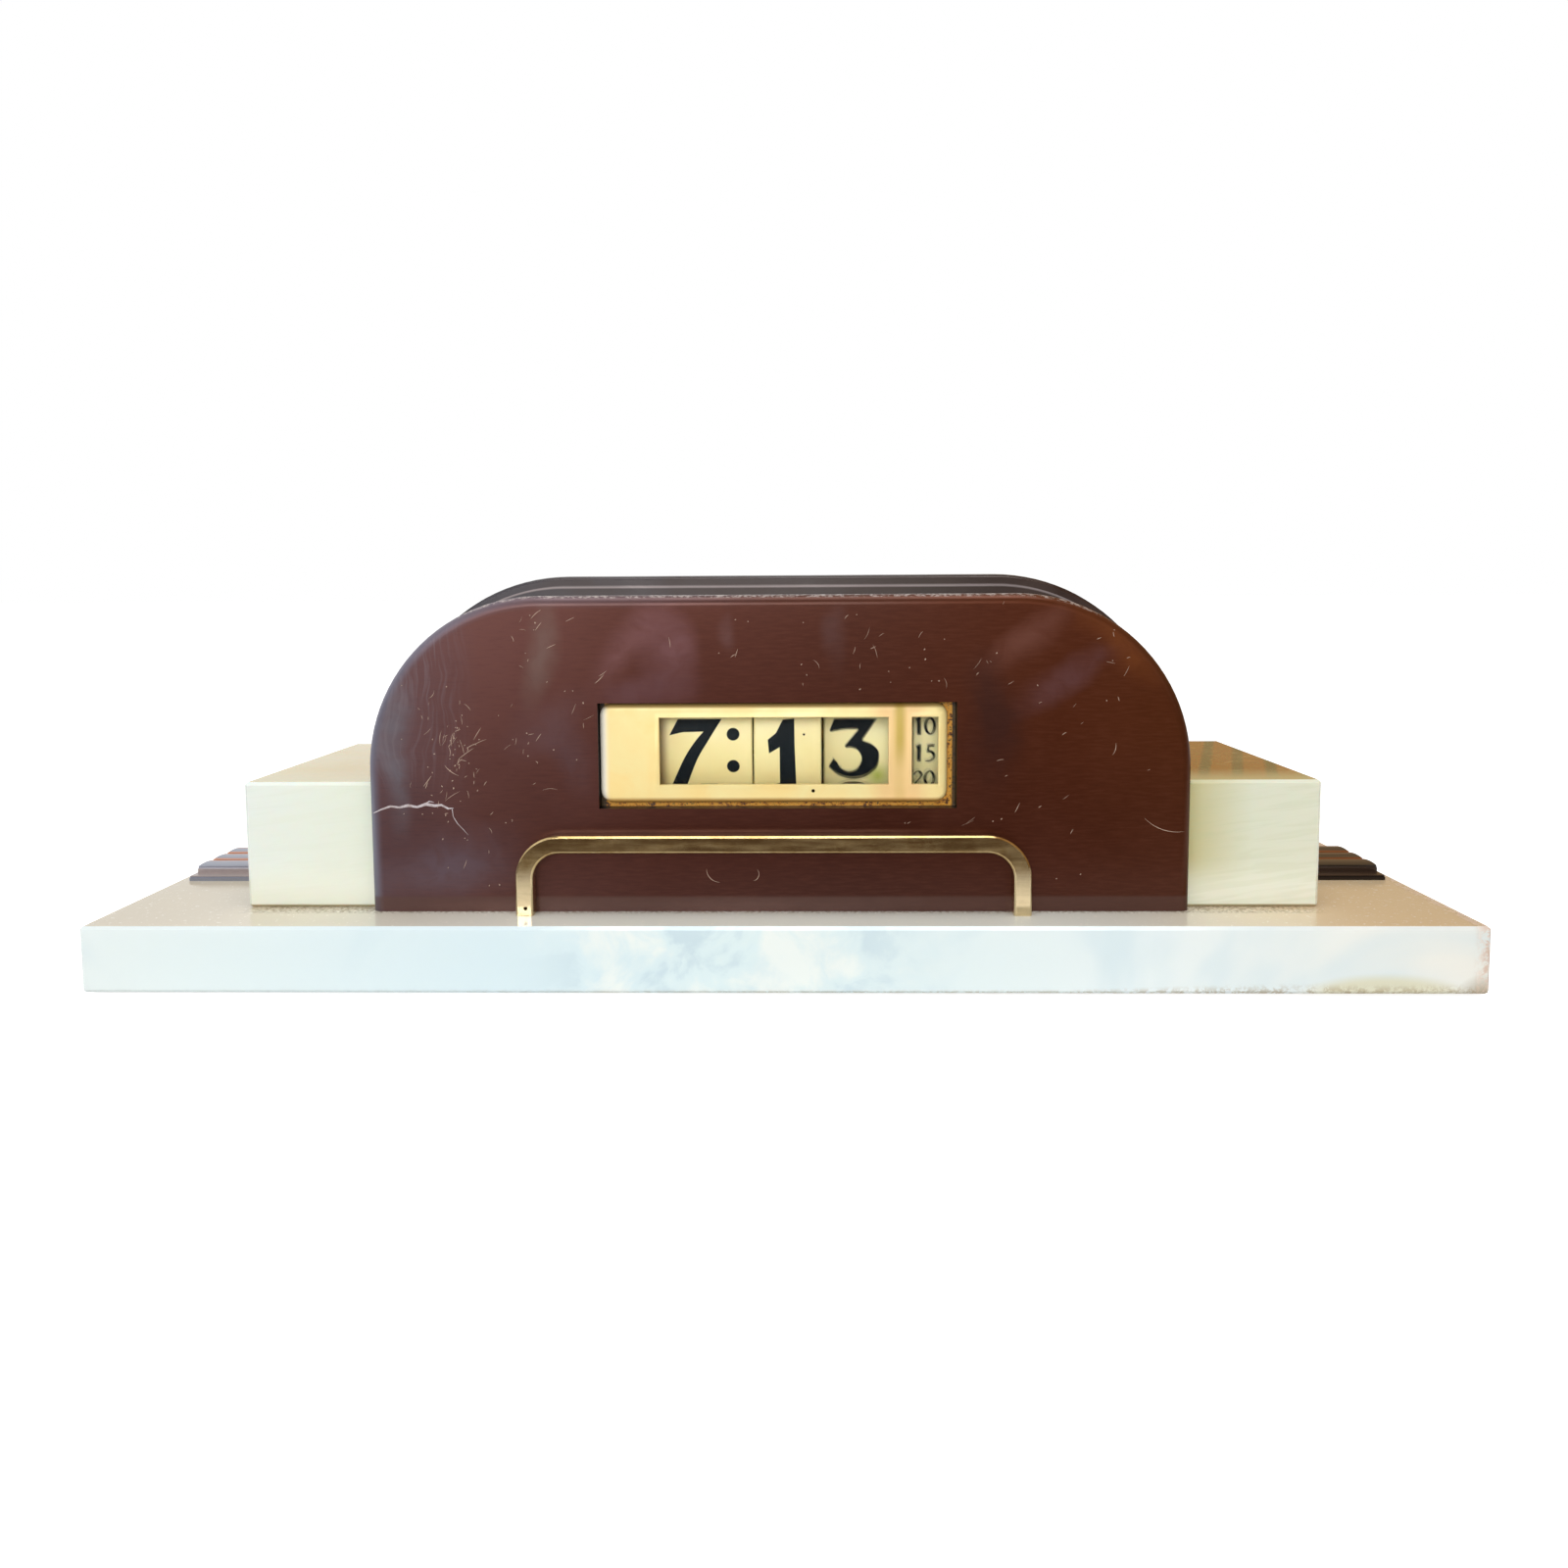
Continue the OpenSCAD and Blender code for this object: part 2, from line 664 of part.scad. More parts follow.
module window_cut(x, w, out, d0, d1)
    translate([x - w / 2 - out, window_rise - window_h / 2 - out, d0])
        cube([w + 2 * out, window_h + 2 * out, d1 - d0]);

// A raised border with sloping sides
module window_bead(x, w) hull() {
    window_cut(x, w, window_lip, bezel_d - 2 * sheet_t, bezel_d);
    window_cut(x, w, window_lip / 3, bezel_d - 2 * sheet_t, bezel_d + window_lip_h);
}

module both_windows(out, d0, d1) {
    window_cut(window_x, window_w, out, d0, d1);
    window_cut(seconds_window_x, seconds_window_w, out, d0, d1);
}

module bezel() color(gilt)
    translate([0, case_y + front_t, bezel_z]) rotate([90, 0, 0]) difference() {
        union() {
            translate([bezel_x, bezel_up, -sheet_t])
                pillow(bezel_w, bezel_h, bezel_d + sheet_t, bezel_corner, bezel_roll);
            translate([0, 0, -sheet_t]) linear_extrude(sheet_t)
                square([aperture_w + 2 * flange_w, aperture_h + 2 * flange_w], center = true);
            window_bead(window_x, window_w);
            window_bead(seconds_window_x, seconds_window_w);
        }
        difference() {
            translate([bezel_x, bezel_up, -1 - sheet_t])
                pillow(bezel_w - 2 * sheet_t, bezel_h - 2 * sheet_t, bezel_d + 1,
                       bezel_corner - sheet_t, bezel_roll - sheet_t);
            both_windows(window_lip, bezel_d - 2 * sheet_t, bezel_d);
        }
        both_windows(0, -2, bezel_d + 1);
    }

module window_pane() color("#d8e4ea", 0.35)
    translate([-aperture_w / 2, case_y + front_t + sheet_t, bezel_z - aperture_h / 2 - 1])
        cube([aperture_w, pane_t, aperture_h + 2]);

// Movement frame

module plate(x) on_shaft(x) linear_extrude(plate_t) {
    square(2 * plate_half, center = true);
    translate([-foot_half_d, foot_top - axis_z]) square([2 * foot_half_d, axis_z - foot_top]);
    for (y = [-0.6, 0.6]) translate([y * foot_half_d - tab_w / 2, deck_z - axis_z])
        square([tab_w, 2 * foot_t]);
}

module pillar_holes(x, off, skip = false)
    for (y = [-1, 1], z = [-1, 1]) if (!skip || y < 0 || z > 0)
        rod(x - 1, x + plate_t + 1, spigot_r + run_play, axis_y + y * off, axis_z + z * off);

module left_plate() color(steel) difference() {
    plate(left_x);
    pillar_holes(left_x, pillar_off);
    rod(left_x - 1, left_x + plate_t + 1, arbor_r);
}

// The lay arbor has no bearing to the right of the seconds drum, so its bush is long
lay_bush_l = 2;

module middle_plate() color(steel) difference() {
    union() {
        plate(middle_x);
        rod(middle_x - lay_bush_l, middle_x + plate_t + 0.25, pivot_r + bush_wall, axis_y, axis_z + lay_dist);
    }
    pillar_holes(middle_x, pillar_off);
    pillar_holes(middle_x, short_off, true);
    rod(middle_x - 1, middle_x + plate_t + 1, arbor_r);
    rod(middle_x - lay_bush_l - 1, middle_x + plate_t + 1, pivot_r + run_play, axis_y, axis_z + lay_dist);
    rod(middle_x - 1, middle_x + plate_t + 1, pivot_r + run_play, set_y, set_z);
}

module right_plate() color(steel) difference() {
    plate(right_x);
    pillar_holes(right_x, short_off, true);
    rod(right_x - 1, right_x + plate_t + 1, pivot_r + run_play);
    rod(right_x - 1, right_x + plate_t + 1, pivot_r + run_play, set_y, set_z);
    for (y = [-1, 1]) rod(right_x - 1, right_x + plate_t + 1, screw_r + thread_play,
                          axis_y + y * motor_screw_y, axis_z + motor_screw_z);
}

module pillar(x0, x1, y, z) {
    end = plate_t + nut_h + thread_out;
    rod(x0, x1, pillar_r, y, z);
    rod(x0 - end, x1 + end, spigot_r, y, z);
}

module pillars() color(brass)
    for (y = [-1, 1], z = [-1, 1]) {
        pillar(left_x + plate_t, middle_x, axis_y + y * pillar_off, axis_z + z * pillar_off);
        if (y < 0 || z > 0)
            pillar(middle_x + plate_t, right_x, axis_y + y * short_off, axis_z + z * short_off);
    }

module pillar_nut(x, off, y, z) on_shaft(x, axis_y + y * off, axis_z + z * off)
    difference() {
        hex_nut(spigot_r, nut_h);
        translate([0, 0, -1]) cylinder(r = spigot_r + thread_play, h = nut_h + 2);
    }

module pillar_nuts() color(brass)
    for (y = [-1, 1], z = [-1, 1]) {
        pillar_nut(left_x - nut_h, pillar_off, y, z);
        pillar_nut(middle_x + plate_t, pillar_off, y, z);
        if (y < 0 || z > 0) {
            pillar_nut(middle_x - nut_h, short_off, y, z);
            pillar_nut(right_x + plate_t, short_off, y, z);
        }
    }

module foot_plate() color(steel) difference() {
    union() {
        translate([left_x - foot_edge, axis_y - foot_half_d - foot_edge, deck_z])
            cube([right_x + plate_t + 2 * foot_edge - left_x, 2 * (foot_half_d + foot_edge), foot_t]);
        for (x = foot_bolt_xs, y = foot_bolt_ys)
            translate([x, y, deck_z]) cylinder(r = 2 * bolt_r, h = foot_t + foot_boss_h);
    }
    for (x = [left_x, middle_x, right_x], y = [-0.6, 0.6])
        translate([x, axis_y + y * foot_half_d - tab_w / 2, deck_z - 1])
            cube([plate_t, tab_w, foot_t + 2]);
    for (x = foot_bolt_xs, y = foot_bolt_ys)
        translate([x, y, deck_z - 1]) cylinder(r = bolt_r + thread_play, h = foot_t + foot_boss_h + 2);
}

module foot_bolts() color(steel)
    for (x = foot_bolt_xs, y = foot_bolt_ys) slab_bolt(x, y, bolt_r, foot_top + foot_boss_h - end_play);

module main_arbor() color(steel) rod(left_x, middle_x + plate_t, arbor_r);

// Drums. Each is turned about the arbor, with its left end at x = 0.

rim_ease = 0.3;
web_hole_r = 3.4;
web_hole_dist = (hub_r + carry_dist + web_hole_r + 1.6) / 2;
ring_wall = 1.4;

module rim2d(r, w)
    polygon([[r - rim_t, 0], [r - rim_ease, 0], [r, rim_ease], [r, w - rim_ease],
             [r - rim_ease, w], [r - rim_t, w]]);

module drum_body(x, r, w, web_x, hub_x0, hub_x1) difference() {
    on_shaft(x) rotate_extrude() {
        rim2d(r, w);
        translate([arbor_r + run_play, web_x - x]) square([r - rim_t / 2 - arbor_r - run_play, web_t]);
        translate([arbor_r + run_play, hub_x0 - x])
            square([hub_r - arbor_r - run_play, hub_x1 - hub_x0]);
    }
    for (a = [30 : 60 : 330]) on_shaft(web_x - 1) rotate(a)
        translate([web_hole_dist, 0, 0]) cylinder(r = web_hole_r, h = web_t + 2, $fn = 48);
}

module carry_ring(x) on_shaft(x) linear_extrude(ring_w) difference() {
    circle(carry_ring_n * carry_m / 2 + 1.05 * carry_m + ring_wall);
    ring_hole2d(carry_ring_n, carry_m);
}

// Two prongs that reach over a carry arm to the next drum's pinion
module carry_finger(from, web_x, angle) on_shaft(from)
    for (prong = [-1, 1]) rotate(angle + prong * 180 / carry_ring_n - 2)
        rotate_extrude(angle = 4) translate([finger_r, 0])
            square([finger_t, web_x + web_t / 2 - from]);

module hour_drum() color(ivory) {
    drum_body(drums_x, hour_r, hour_w, hour_web_x, left_x + plate_t + end_play, hour_arm_x - end_play);
    carry_ring(hour_web_x + web_t);
}

module tens_drum() color(ivory) {
    drum_body(tens_x, hour_r, tens_w, tens_web_x, hour_arm_x + arm_boss + end_play, tens_arm_x - end_play);
    carry_ring(tens_web_x + web_t);
    for (a = [150, 330]) carry_finger(hour_arm_x - finger_w - end_play, tens_web_x, a);
}

units_ring_x = units_x + units_w - ring_w;

module minutes_drum() color(ivory) {
    drum_body(units_x, units_r, units_w, units_web_x, tens_arm_x + arm_boss + end_play,
              middle_x - end_play);
    carry_finger(tens_arm_x - finger_w - end_play, units_web_x, 130);
    on_shaft(units_ring_x) linear_extrude(ring_w) difference() {
        circle(units_r - rim_t / 2);
        ring_hole2d(units_ring_n, lay_pinion_m);
    }
    on_shaft(units_ring_x + ring_w / 2) linear_extrude(set_gear_t + ring_w / 2) difference() {
        rotate(set_angle + 180 / set_gear_n) pinion2d(set_gear_n, set_m);
        circle(units_ring_n * lay_pinion_m / 2 + 1.4 * lay_pinion_m);
    }
}

module seconds_drum() color(ivory) on_shaft(seconds_x) rotate_extrude() {
    rim2d(seconds_r, seconds_w);
    translate([pivot_r, seconds_w - 2 * web_t]) square([seconds_r - rim_t / 2 - pivot_r, web_t]);
    translate([pivot_r, gear_gap]) square([collar_t, seconds_w - gear_gap]);
}

// Carry arms and pinions. They stand behind the arbor, on its own level.

carry_pin_r = 1.2;
arm_wall = 2.2;
collar_t = 2.2;

module carry_arm(x, from) color(brass) {
    on_shaft(x) difference() {
        union() {
            linear_extrude(arm_t) {
                translate([carry_dist, 0]) circle(carry_pin_r + arm_wall);
                translate([0, -carry_pin_r - arm_wall]) square([carry_dist, 2 * (carry_pin_r + arm_wall)]);
            }
            cylinder(r = hub_r, h = arm_boss);
        }
        translate([0, 0, -1]) cylinder(r = arbor_r, h = arm_boss + 2);
    }
    rod(from, x + arm_t / 2, carry_pin_r, axis_y + carry_dist);
}

module carry_pinion(from, to) color(brass)
    on_shaft(from, axis_y + carry_dist) linear_extrude(to - from) difference() {
        pinion2d(carry_pinion_n, carry_m);
        circle(carry_pin_r + run_play);
    }

module hour_carry_arm() carry_arm(hour_arm_x, hour_web_x + web_t + end_play);
module hour_carry_pinion() carry_pinion(hour_web_x + web_t + end_play, hour_arm_x - end_play);
module tens_carry_arm() carry_arm(tens_arm_x, tens_web_x + web_t + end_play);
module tens_carry_pinion() carry_pinion(tens_web_x + web_t + end_play, tens_arm_x - end_play);

// Drive from the seconds arbor, over the lay arbor, to the minutes drum

can_x = right_x + plate_t;
seconds_tail = 6;

module seconds_arbor() color(steel) {
    rod(middle_x + plate_t + end_play, can_x + seconds_tail, pivot_r);
    on_shaft(wheel_x) linear_extrude(wheel_t)
        rotate(90 + 180 / seconds_pinion_n) pinion2d(seconds_pinion_n, lay_wheel_m);
}

module lay_arbor() color(steel) {
    pinion_x = units_ring_x + end_play;
    rod(pinion_x, wheel_x + wheel_t + end_play, pivot_r, axis_y, axis_z + lay_dist);
    on_shaft(pinion_x, axis_y, axis_z + lay_dist) linear_extrude(ring_w - end_play)
        rotate(90) pinion2d(lay_pinion_n, lay_pinion_m);
}

module lay_wheel() color(brass)
    on_shaft(wheel_x, axis_y, axis_z + lay_dist) difference() {
        linear_extrude(wheel_t) rotate(-90) pinion2d(lay_wheel_n, lay_wheel_m);
        translate([0, 0, -1]) cylinder(r = pivot_r, h = wheel_t + 2);
    }

// Setting wheel

scallop_r = 0.9;

module set_arbor() color(steel) {
    pinion_x = units_x + units_w + end_play;
    rod(pinion_x, set_wheel_x + set_wheel_t + set_wheel_boss, pivot_r, set_y, set_z);
    on_shaft(pinion_x, set_y, set_z) linear_extrude(set_gear_t)
        rotate(set_angle + 180) pinion2d(set_pinion_n, set_m);
}

module set_wheel() color("#2a2523")
    on_shaft(set_wheel_x, set_y, set_z) difference() {
        union() {
            difference() {
                cylinder(r = set_wheel_r, h = set_wheel_t);
                for (i = [0 : set_scallops - 1]) rotate(i * 360 / set_scallops)
                    translate([set_wheel_r + scallop_r / 2, 0, -1])
                        cylinder(r = scallop_r, h = set_wheel_t + 2, $fn = 24);
            }
            translate([0, 0, -set_wheel_boss])
                cylinder(r = pivot_r + collar_t, h = set_wheel_t + 2 * set_wheel_boss);
        }
        translate([0, 0, -set_wheel_boss - 1])
            cylinder(r = pivot_r, h = set_wheel_t + 2 * set_wheel_boss + 2);
    }

// Motor

core_gap = 5;
core_x = can_x + core_gap;
motor_screw_y = 19.6;
motor_screw_z = 6;
spacer_r = 2.6;
core_top = 6;
can_play = 0.2;
coil_side = 2.5;
coil_play = 0.1;
screw_head_h = 1.8;
core_drop = can_r + winding_t + 1.5 + limb_h;

module motor_can() color("#b7b9b4") difference() {
    union() {
        rod(can_x, can_x + can_d, can_r);
        rod(can_x + can_d, can_x + 1.1 * can_d, 0.8 * can_r);
    }
    rod(can_x - 1, can_x + seconds_tail + 1, pivot_r + run_play);
}

module motor_core() color("#6a6d70") difference() {
    on_shaft(core_x) linear_extrude(core_t) difference() {
        translate([-core_w / 2, -core_drop]) square([core_w, core_drop + can_r + core_top]);
        circle(can_r + can_play);
        translate([-coil_w / 2 - 1, limb_h - core_drop]) square([coil_w + 2, winding_t + 3.5]);
    }
    for (y = [-1, 1]) rod(core_x - 1, core_x + core_t + 1, screw_r + thread_play,
                          axis_y + y * motor_screw_y, axis_z + motor_screw_z);
}

module motor_coil() color("#8a3b1e") on_shaft(core_x - coil_side) difference() {
    translate([0, limb_h / 2 - core_drop, 0]) linear_extrude(core_t + 2 * coil_side)
        eased_rect(coil_w, limb_h + 2 * winding_t, 2);
    translate([-coil_w, -core_drop - coil_play, coil_side - coil_play])
        cube([2 * coil_w, limb_h + 2 * coil_play, core_t + 2 * coil_play]);
}

module motor_screws() color(brass)
    for (side = [-1, 1]) {
        y = axis_y + side * motor_screw_y;
        z = axis_z + motor_screw_z;
        rod(right_x, core_x + core_t + 0.5, screw_r, y, z);
        rod(can_x, core_x, spacer_r, y, z);
        rod(core_x + core_t, core_x + core_t + screw_head_h, 1.7 * screw_r, y, z);
    }

terminal_back = 22;
terminal_x = inlet_x - terminal_w / 2 - 4;
terminal_y = cover_y - terminal_back;

module terminal_block() color("#1f1c1b") difference() {
    translate([terminal_x, terminal_y, deck_z]) cube([terminal_w, terminal_d, terminal_h]);
    for (x = [0.25, 0.75])
        translate([terminal_x + x * terminal_w, terminal_y + terminal_d / 2, deck_z + tap_spare])
            cylinder(r = screw_r + thread_play, h = terminal_h);
}

module terminal_screws() color(brass)
    for (x = [0.25, 0.75])
        translate([terminal_x + x * terminal_w, terminal_y + terminal_d / 2, deck_z]) {
            translate([0, 0, 2 * tap_spare]) cylinder(r = screw_r, h = terminal_h);
            translate([0, 0, terminal_h]) cylinder(r = 1.9 * screw_r, h = screw_head_h);
        }

onyx_slab();
felt_sheet();
wing_left();
wing_right();
wing_bolts();
strip_left();
strip_right();
brass_rail();
rail_nuts();
case_front();
front_nuts();
case_shell();
case_bolts();
crown_moulding();
rear_cover();
rear_screws();
cord_inlet();
bezel();
window_pane();
foot_plate();
foot_bolts();
left_plate();
middle_plate();
right_plate();
pillars();
pillar_nuts();
main_arbor();
hour_drum();
tens_drum();
minutes_drum();
seconds_drum();
seconds_arbor();
lay_arbor();
lay_wheel();
hour_carry_arm();
hour_carry_pinion();
tens_carry_arm();
tens_carry_pinion();
set_arbor();
set_wheel();
motor_can();
motor_core();
motor_coil();
motor_screws();
terminal_block();
terminal_screws();
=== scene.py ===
# %% [markdown]
# # A cyclometer clock, dressed for its portrait
#
# The clock shows the time as figures on four turning drums behind a gilt window.
# Its shape is ready made: it is loaded as a fixed frame, and nothing in it is moved here.
# This lesson adds what the eye looks for next: the camera, the light, a finish for every
# piece, the printed figures, and the small marks that years of use have left.

# %% Load the clock
import json
import math
import random

import bmesh
import bpy
from mathutils import Matrix, Vector

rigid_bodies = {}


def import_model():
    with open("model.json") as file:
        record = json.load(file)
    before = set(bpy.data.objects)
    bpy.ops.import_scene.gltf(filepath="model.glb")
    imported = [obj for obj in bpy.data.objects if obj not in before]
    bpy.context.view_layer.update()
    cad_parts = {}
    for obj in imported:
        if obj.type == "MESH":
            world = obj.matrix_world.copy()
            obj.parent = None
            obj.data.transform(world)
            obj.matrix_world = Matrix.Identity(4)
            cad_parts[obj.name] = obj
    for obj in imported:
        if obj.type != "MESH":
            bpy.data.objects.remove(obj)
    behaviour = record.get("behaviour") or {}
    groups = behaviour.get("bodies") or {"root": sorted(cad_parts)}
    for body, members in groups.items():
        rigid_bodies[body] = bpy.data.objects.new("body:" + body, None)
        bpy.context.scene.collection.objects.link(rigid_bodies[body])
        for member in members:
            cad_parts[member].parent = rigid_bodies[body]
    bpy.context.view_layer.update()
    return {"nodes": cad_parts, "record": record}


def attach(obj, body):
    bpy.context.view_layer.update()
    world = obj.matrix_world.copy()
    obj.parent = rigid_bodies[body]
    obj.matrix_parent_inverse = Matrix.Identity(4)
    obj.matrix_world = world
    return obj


for leftover in list(bpy.data.objects):
    bpy.data.objects.remove(leftover)

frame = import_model()
nodes = frame["nodes"]

# %% [markdown]
# ## Millimetres, colours and nodes
#
# Blender works in metres, and a clockmaker in millimetres, so one helper converts.
# A paint maker gives a colour as a hex number, but Blender mixes light in linear values,
# so a second helper converts that. A noise with scale 1 repeats about once a metre, so
# a third turns the size of a pattern into a texture's scale. The fourth adds a node
# of any kind to a material, with its settings and links, and hands back one output, and
# the last puts something new in the scene.

# %% Five small tools
def mm(*lengths):
    """Millimetres to metres, one length or a point."""
    return lengths[0] / 1000 if len(lengths) == 1 else Vector(v / 1000 for v in lengths)


def paint(hex_code):
    """An sRGB hex colour as the linear colour that Blender's sockets take."""
    parts = [int(hex_code[i : i + 2], 16) / 255 for i in (1, 3, 5)]
    return [c / 12.92 if c <= 0.04045 else ((c + 0.055) / 1.055) ** 2.4 for c in parts] + [1]


def every(size_mm):
    """The texture scale whose pattern repeats about every size_mm millimetres."""
    return 1000 / size_mm


def add(tree, kind, inputs=None, out=None, stops=(), **settings):
    """Adds one node with its settings, colour stops, and values or links for its inputs."""
    node = tree.nodes.new("ShaderNode" + kind)
    for name, value in settings.items():
        setattr(node, name, value)
    for i, (place, colour) in enumerate(stops):
        mark = node.color_ramp.elements[i] if i < 2 else node.color_ramp.elements.new(place)
        mark.position, mark.color = place, paint(colour)
    for name, value in (inputs or {}).items():
        if isinstance(value, bpy.types.NodeSocket):
            tree.links.new(value, node.inputs[name])
        else:
            node.inputs[name].default_value = value
    ready = [socket for socket in node.outputs if socket.enabled]
    return node.outputs[out] if out else ready[0] if ready else node


def placed(name, data):
    """A new object of the scene."""
    made = bpy.data.objects.new(name, data)
    bpy.context.scene.collection.objects.link(made)
    return made


SOFT = {"interpolation_type": "SMOOTHSTEP"}  # a range that starts and ends gently
COLOUR = {"data_type": "RGBA"}  # a mix of two colours
print("a 5 mm pattern has scale", every(5))

# %% [markdown]
# ## Where a colour lies
#
# Wear and dirt keep to places: near an edge, low down, in the hollows of a noise. Such
# a place is a mask from 0 to 1, and where several meet, their masks are multiplied. One
# helper makes the mask, and another lays a colour over what is there by it.

# %% Masks and stains
def within(tree, *limits):
    """A mask that is full where every limit is met.

    A limit is a mask, or a pattern with where it starts and where it is full, and maybe its most and its least.
    """
    whole = None
    for limit in limits:
        if isinstance(limit, tuple):
            pattern, start, full, most, least = limit + (1.0, 0.0)[len(limit) - 3 :]
            limit = add(tree, "MapRange", {"Value": pattern, "From Min": start, "From Max": full, "To Min": least,
                                           "To Max": most}, **SOFT)
        whole = limit if whole is None else add(tree, "Math", {0: whole, 1: limit}, operation="MULTIPLY")
    return whole


def stained(tree, tone, colour, *limits):
    """The tone under another colour, which lies where every limit is met."""
    colour = paint(colour) if isinstance(colour, str) else colour
    return add(tree, "Mix", {"Factor": within(tree, *limits), "A": tone, "B": colour}, **COLOUR)


print("a limit starts and ends gently:", SOFT["interpolation_type"])

# %% [markdown]
# ## Camera
#
# The portrait was taken from close by, a little above the clock and slightly turned. The
# camera's place and turns were solved from the straight edges of the slab and the case.
# The lens is a mild wide angle, and a small shift keeps the clock where it sits in frame.

# %% Camera
def turned_camera(place_mm, yaw, pitch, roll):
    """A matrix for a camera at place_mm that looks along +Y, turned by three angles."""
    cy, sy = math.cos(yaw), math.sin(yaw)
    cp, sp = math.cos(pitch), math.sin(pitch)
    cr, sr = math.cos(roll), math.sin(roll)
    heading = Matrix(((cy, -sy, 0), (sy, cy, 0), (0, 0, 1)))
    tilt = Matrix(((1, 0, 0), (0, cp, -sp), (0, sp, cp)))
    lean = Matrix(((cr, 0, -sr), (0, 1, 0), (sr, 0, cr)))
    right, ahead, up = lean @ tilt @ heading
    axes = Matrix((right, up, -ahead)).transposed().to_4x4()
    return Matrix.Translation(mm(*place_mm)) @ axes


PICTURE, SENSOR = 1600, 36  # the portrait's width in pixels, and the film's in millimetres
camera = placed("portrait_camera", bpy.data.cameras.new("portrait_camera"))
camera.matrix_world = turned_camera((7.681, -317.647, 95.952), -0.021, 0.084, 0.006)
camera.data.sensor_width = SENSOR
camera.data.lens = 1197 / PICTURE * SENSOR
camera.data.shift_y = -100 / PICTURE
camera.data.clip_start = 0.01
bpy.context.scene.camera = camera
bpy.context.scene.view_settings.view_transform = "Standard"
print("lens", round(camera.data.lens, 2), "mm")

# %% [markdown]
# ## Room, floor and lamps
#
# The clock stands on a pale floor in a white room. Rays from the camera find white, and
# the rays that only light the clock find a softer level, so pale stone doesn't burn out.
# Polished brass shows what is before it. A portrait is taken from a dim room, so to
# mirrored rays the room and floor in front are darker, a window whitens the left, and
# the far right is a shade deeper and warmer, as the tops of the stone show. Far from the
# clock the floor glows more, so that it meets the room without a horizon.

# %% Room
world = bpy.data.worlds.new("white_room")
bpy.context.scene.world = world
world.use_nodes = True
room = world.node_tree
room.nodes.clear()
rays = add(room, "LightPath").node.outputs
way = add(room, "SeparateXYZ", {0: add(room, "TexCoord", out="Generated")}).node.outputs
behind = within(room, (way["Y"], -0.35, 0.25, 1, 0.22))
above = within(room, (way["Z"], 0.25, 0.8, 0.45))
mirrored = add(room, "Math", {0: behind, 1: above}, operation="ADD", use_clamp=True)
WHITE = (1, 1, 1, 1)
tint = stained(room, WHITE, "#b09068", (way["X"], 0.02, 0.3))
seen = add(room, "Math", {0: rays["Is Camera Ray"], 1: rays["Is Transmission Ray"]}, operation="MAXIMUM")
level = add(room, "Mix", {"Factor": rays["Is Glossy Ray"], "A": 0.23, "B": mirrored}, data_type="FLOAT")
level = add(room, "Mix", {"Factor": seen, "A": level, "B": 1.0}, data_type="FLOAT")
tint = stained(room, WHITE, tint, rays["Is Glossy Ray"])
add(room, "OutputWorld", {"Surface": add(room, "Background", {"Color": tint, "Strength": level})})
print("the room has", len(room.nodes), "nodes")

# %% Floor
floor_mesh = bpy.data.meshes.new("floor")
floor_mesh.from_pydata([(-9, -9, 0), (9, -9, 0), (9, 9, 0), (-9, 9, 0)], [], [(0, 1, 2, 3)])
floor = placed("floor", floor_mesh)
chalk = bpy.data.materials.new("chalk_white_floor")
chalk.use_nodes = True
tree = chalk.node_tree
tree.nodes.clear()
rays = add(tree, "LightPath").node.outputs
y = add(tree, "SeparateXYZ", {0: add(tree, "TexCoord", out="Object")}, out="Y")
front = within(tree, (y, mm(-170), mm(-110), 0.5, 0.03))
shown = add(tree, "Mix", {"Factor": rays["Is Glossy Ray"], "B": front}, data_type="FLOAT")
seen = add(tree, "Math", {0: rays["Is Camera Ray"], 1: rays["Is Transmission Ray"]}, operation="MAXIMUM")
far = add(tree, "VectorMath", {0: add(tree, "TexCoord", out="Object")}, out="Value", operation="LENGTH")
far = within(tree, (far, 0.3, 1.2, 1, 0.8))
shown = add(tree, "Mix", {"Factor": seen, "A": shown, "B": far}, data_type="FLOAT")
matt = add(tree, "BsdfDiffuse", {"Color": paint("#e6e6e4")})
dim = add(tree, "BsdfDiffuse", {"Color": paint("#4e3c2a")})
dark = within(tree, (y, mm(-110), mm(-170)), rays["Is Glossy Ray"])
matt = add(tree, "MixShader", {0: dark, 1: matt, 2: dim})
glow = add(tree, "Emission", {"Color": WHITE, "Strength": shown})
add(tree, "OutputMaterial", {"Surface": add(tree, "AddShader", {0: matt, 1: glow})})
floor_mesh.materials.append(chalk)
print("floor ready,", len(tree.nodes), "nodes")

# %% Lamps
def soft_lamp(name, place_mm, side_mm, watts, colour):
    """A square soft lamp that faces the middle of the clock."""
    lamp = bpy.data.lights.new(name, "AREA")
    lamp.shape, lamp.size = "SQUARE", mm(side_mm)
    lamp.energy, lamp.color = watts, paint(colour)[:3]
    holder = placed(name, lamp)
    holder.location = mm(*place_mm)
    aim = mm(0, -10, 45) - holder.location
    holder.rotation_euler = aim.to_track_quat("-Z", "Y").to_euler()
    print(name, watts, "W at", round(aim.length, 2), "m")


soft_lamp("window_light", (-900, -1000, 800), 700, 2.6, "#f2f8ff")
soft_lamp("front_light", (-150, -1400, 420), 600, 8.3, "#fffdf8")
soft_lamp("right_fill", (1000, -900, 500), 700, 1.1, "#fff0dc")
soft_lamp("top_light", (60, -250, 1300), 800, 8.0, "#ffffff")

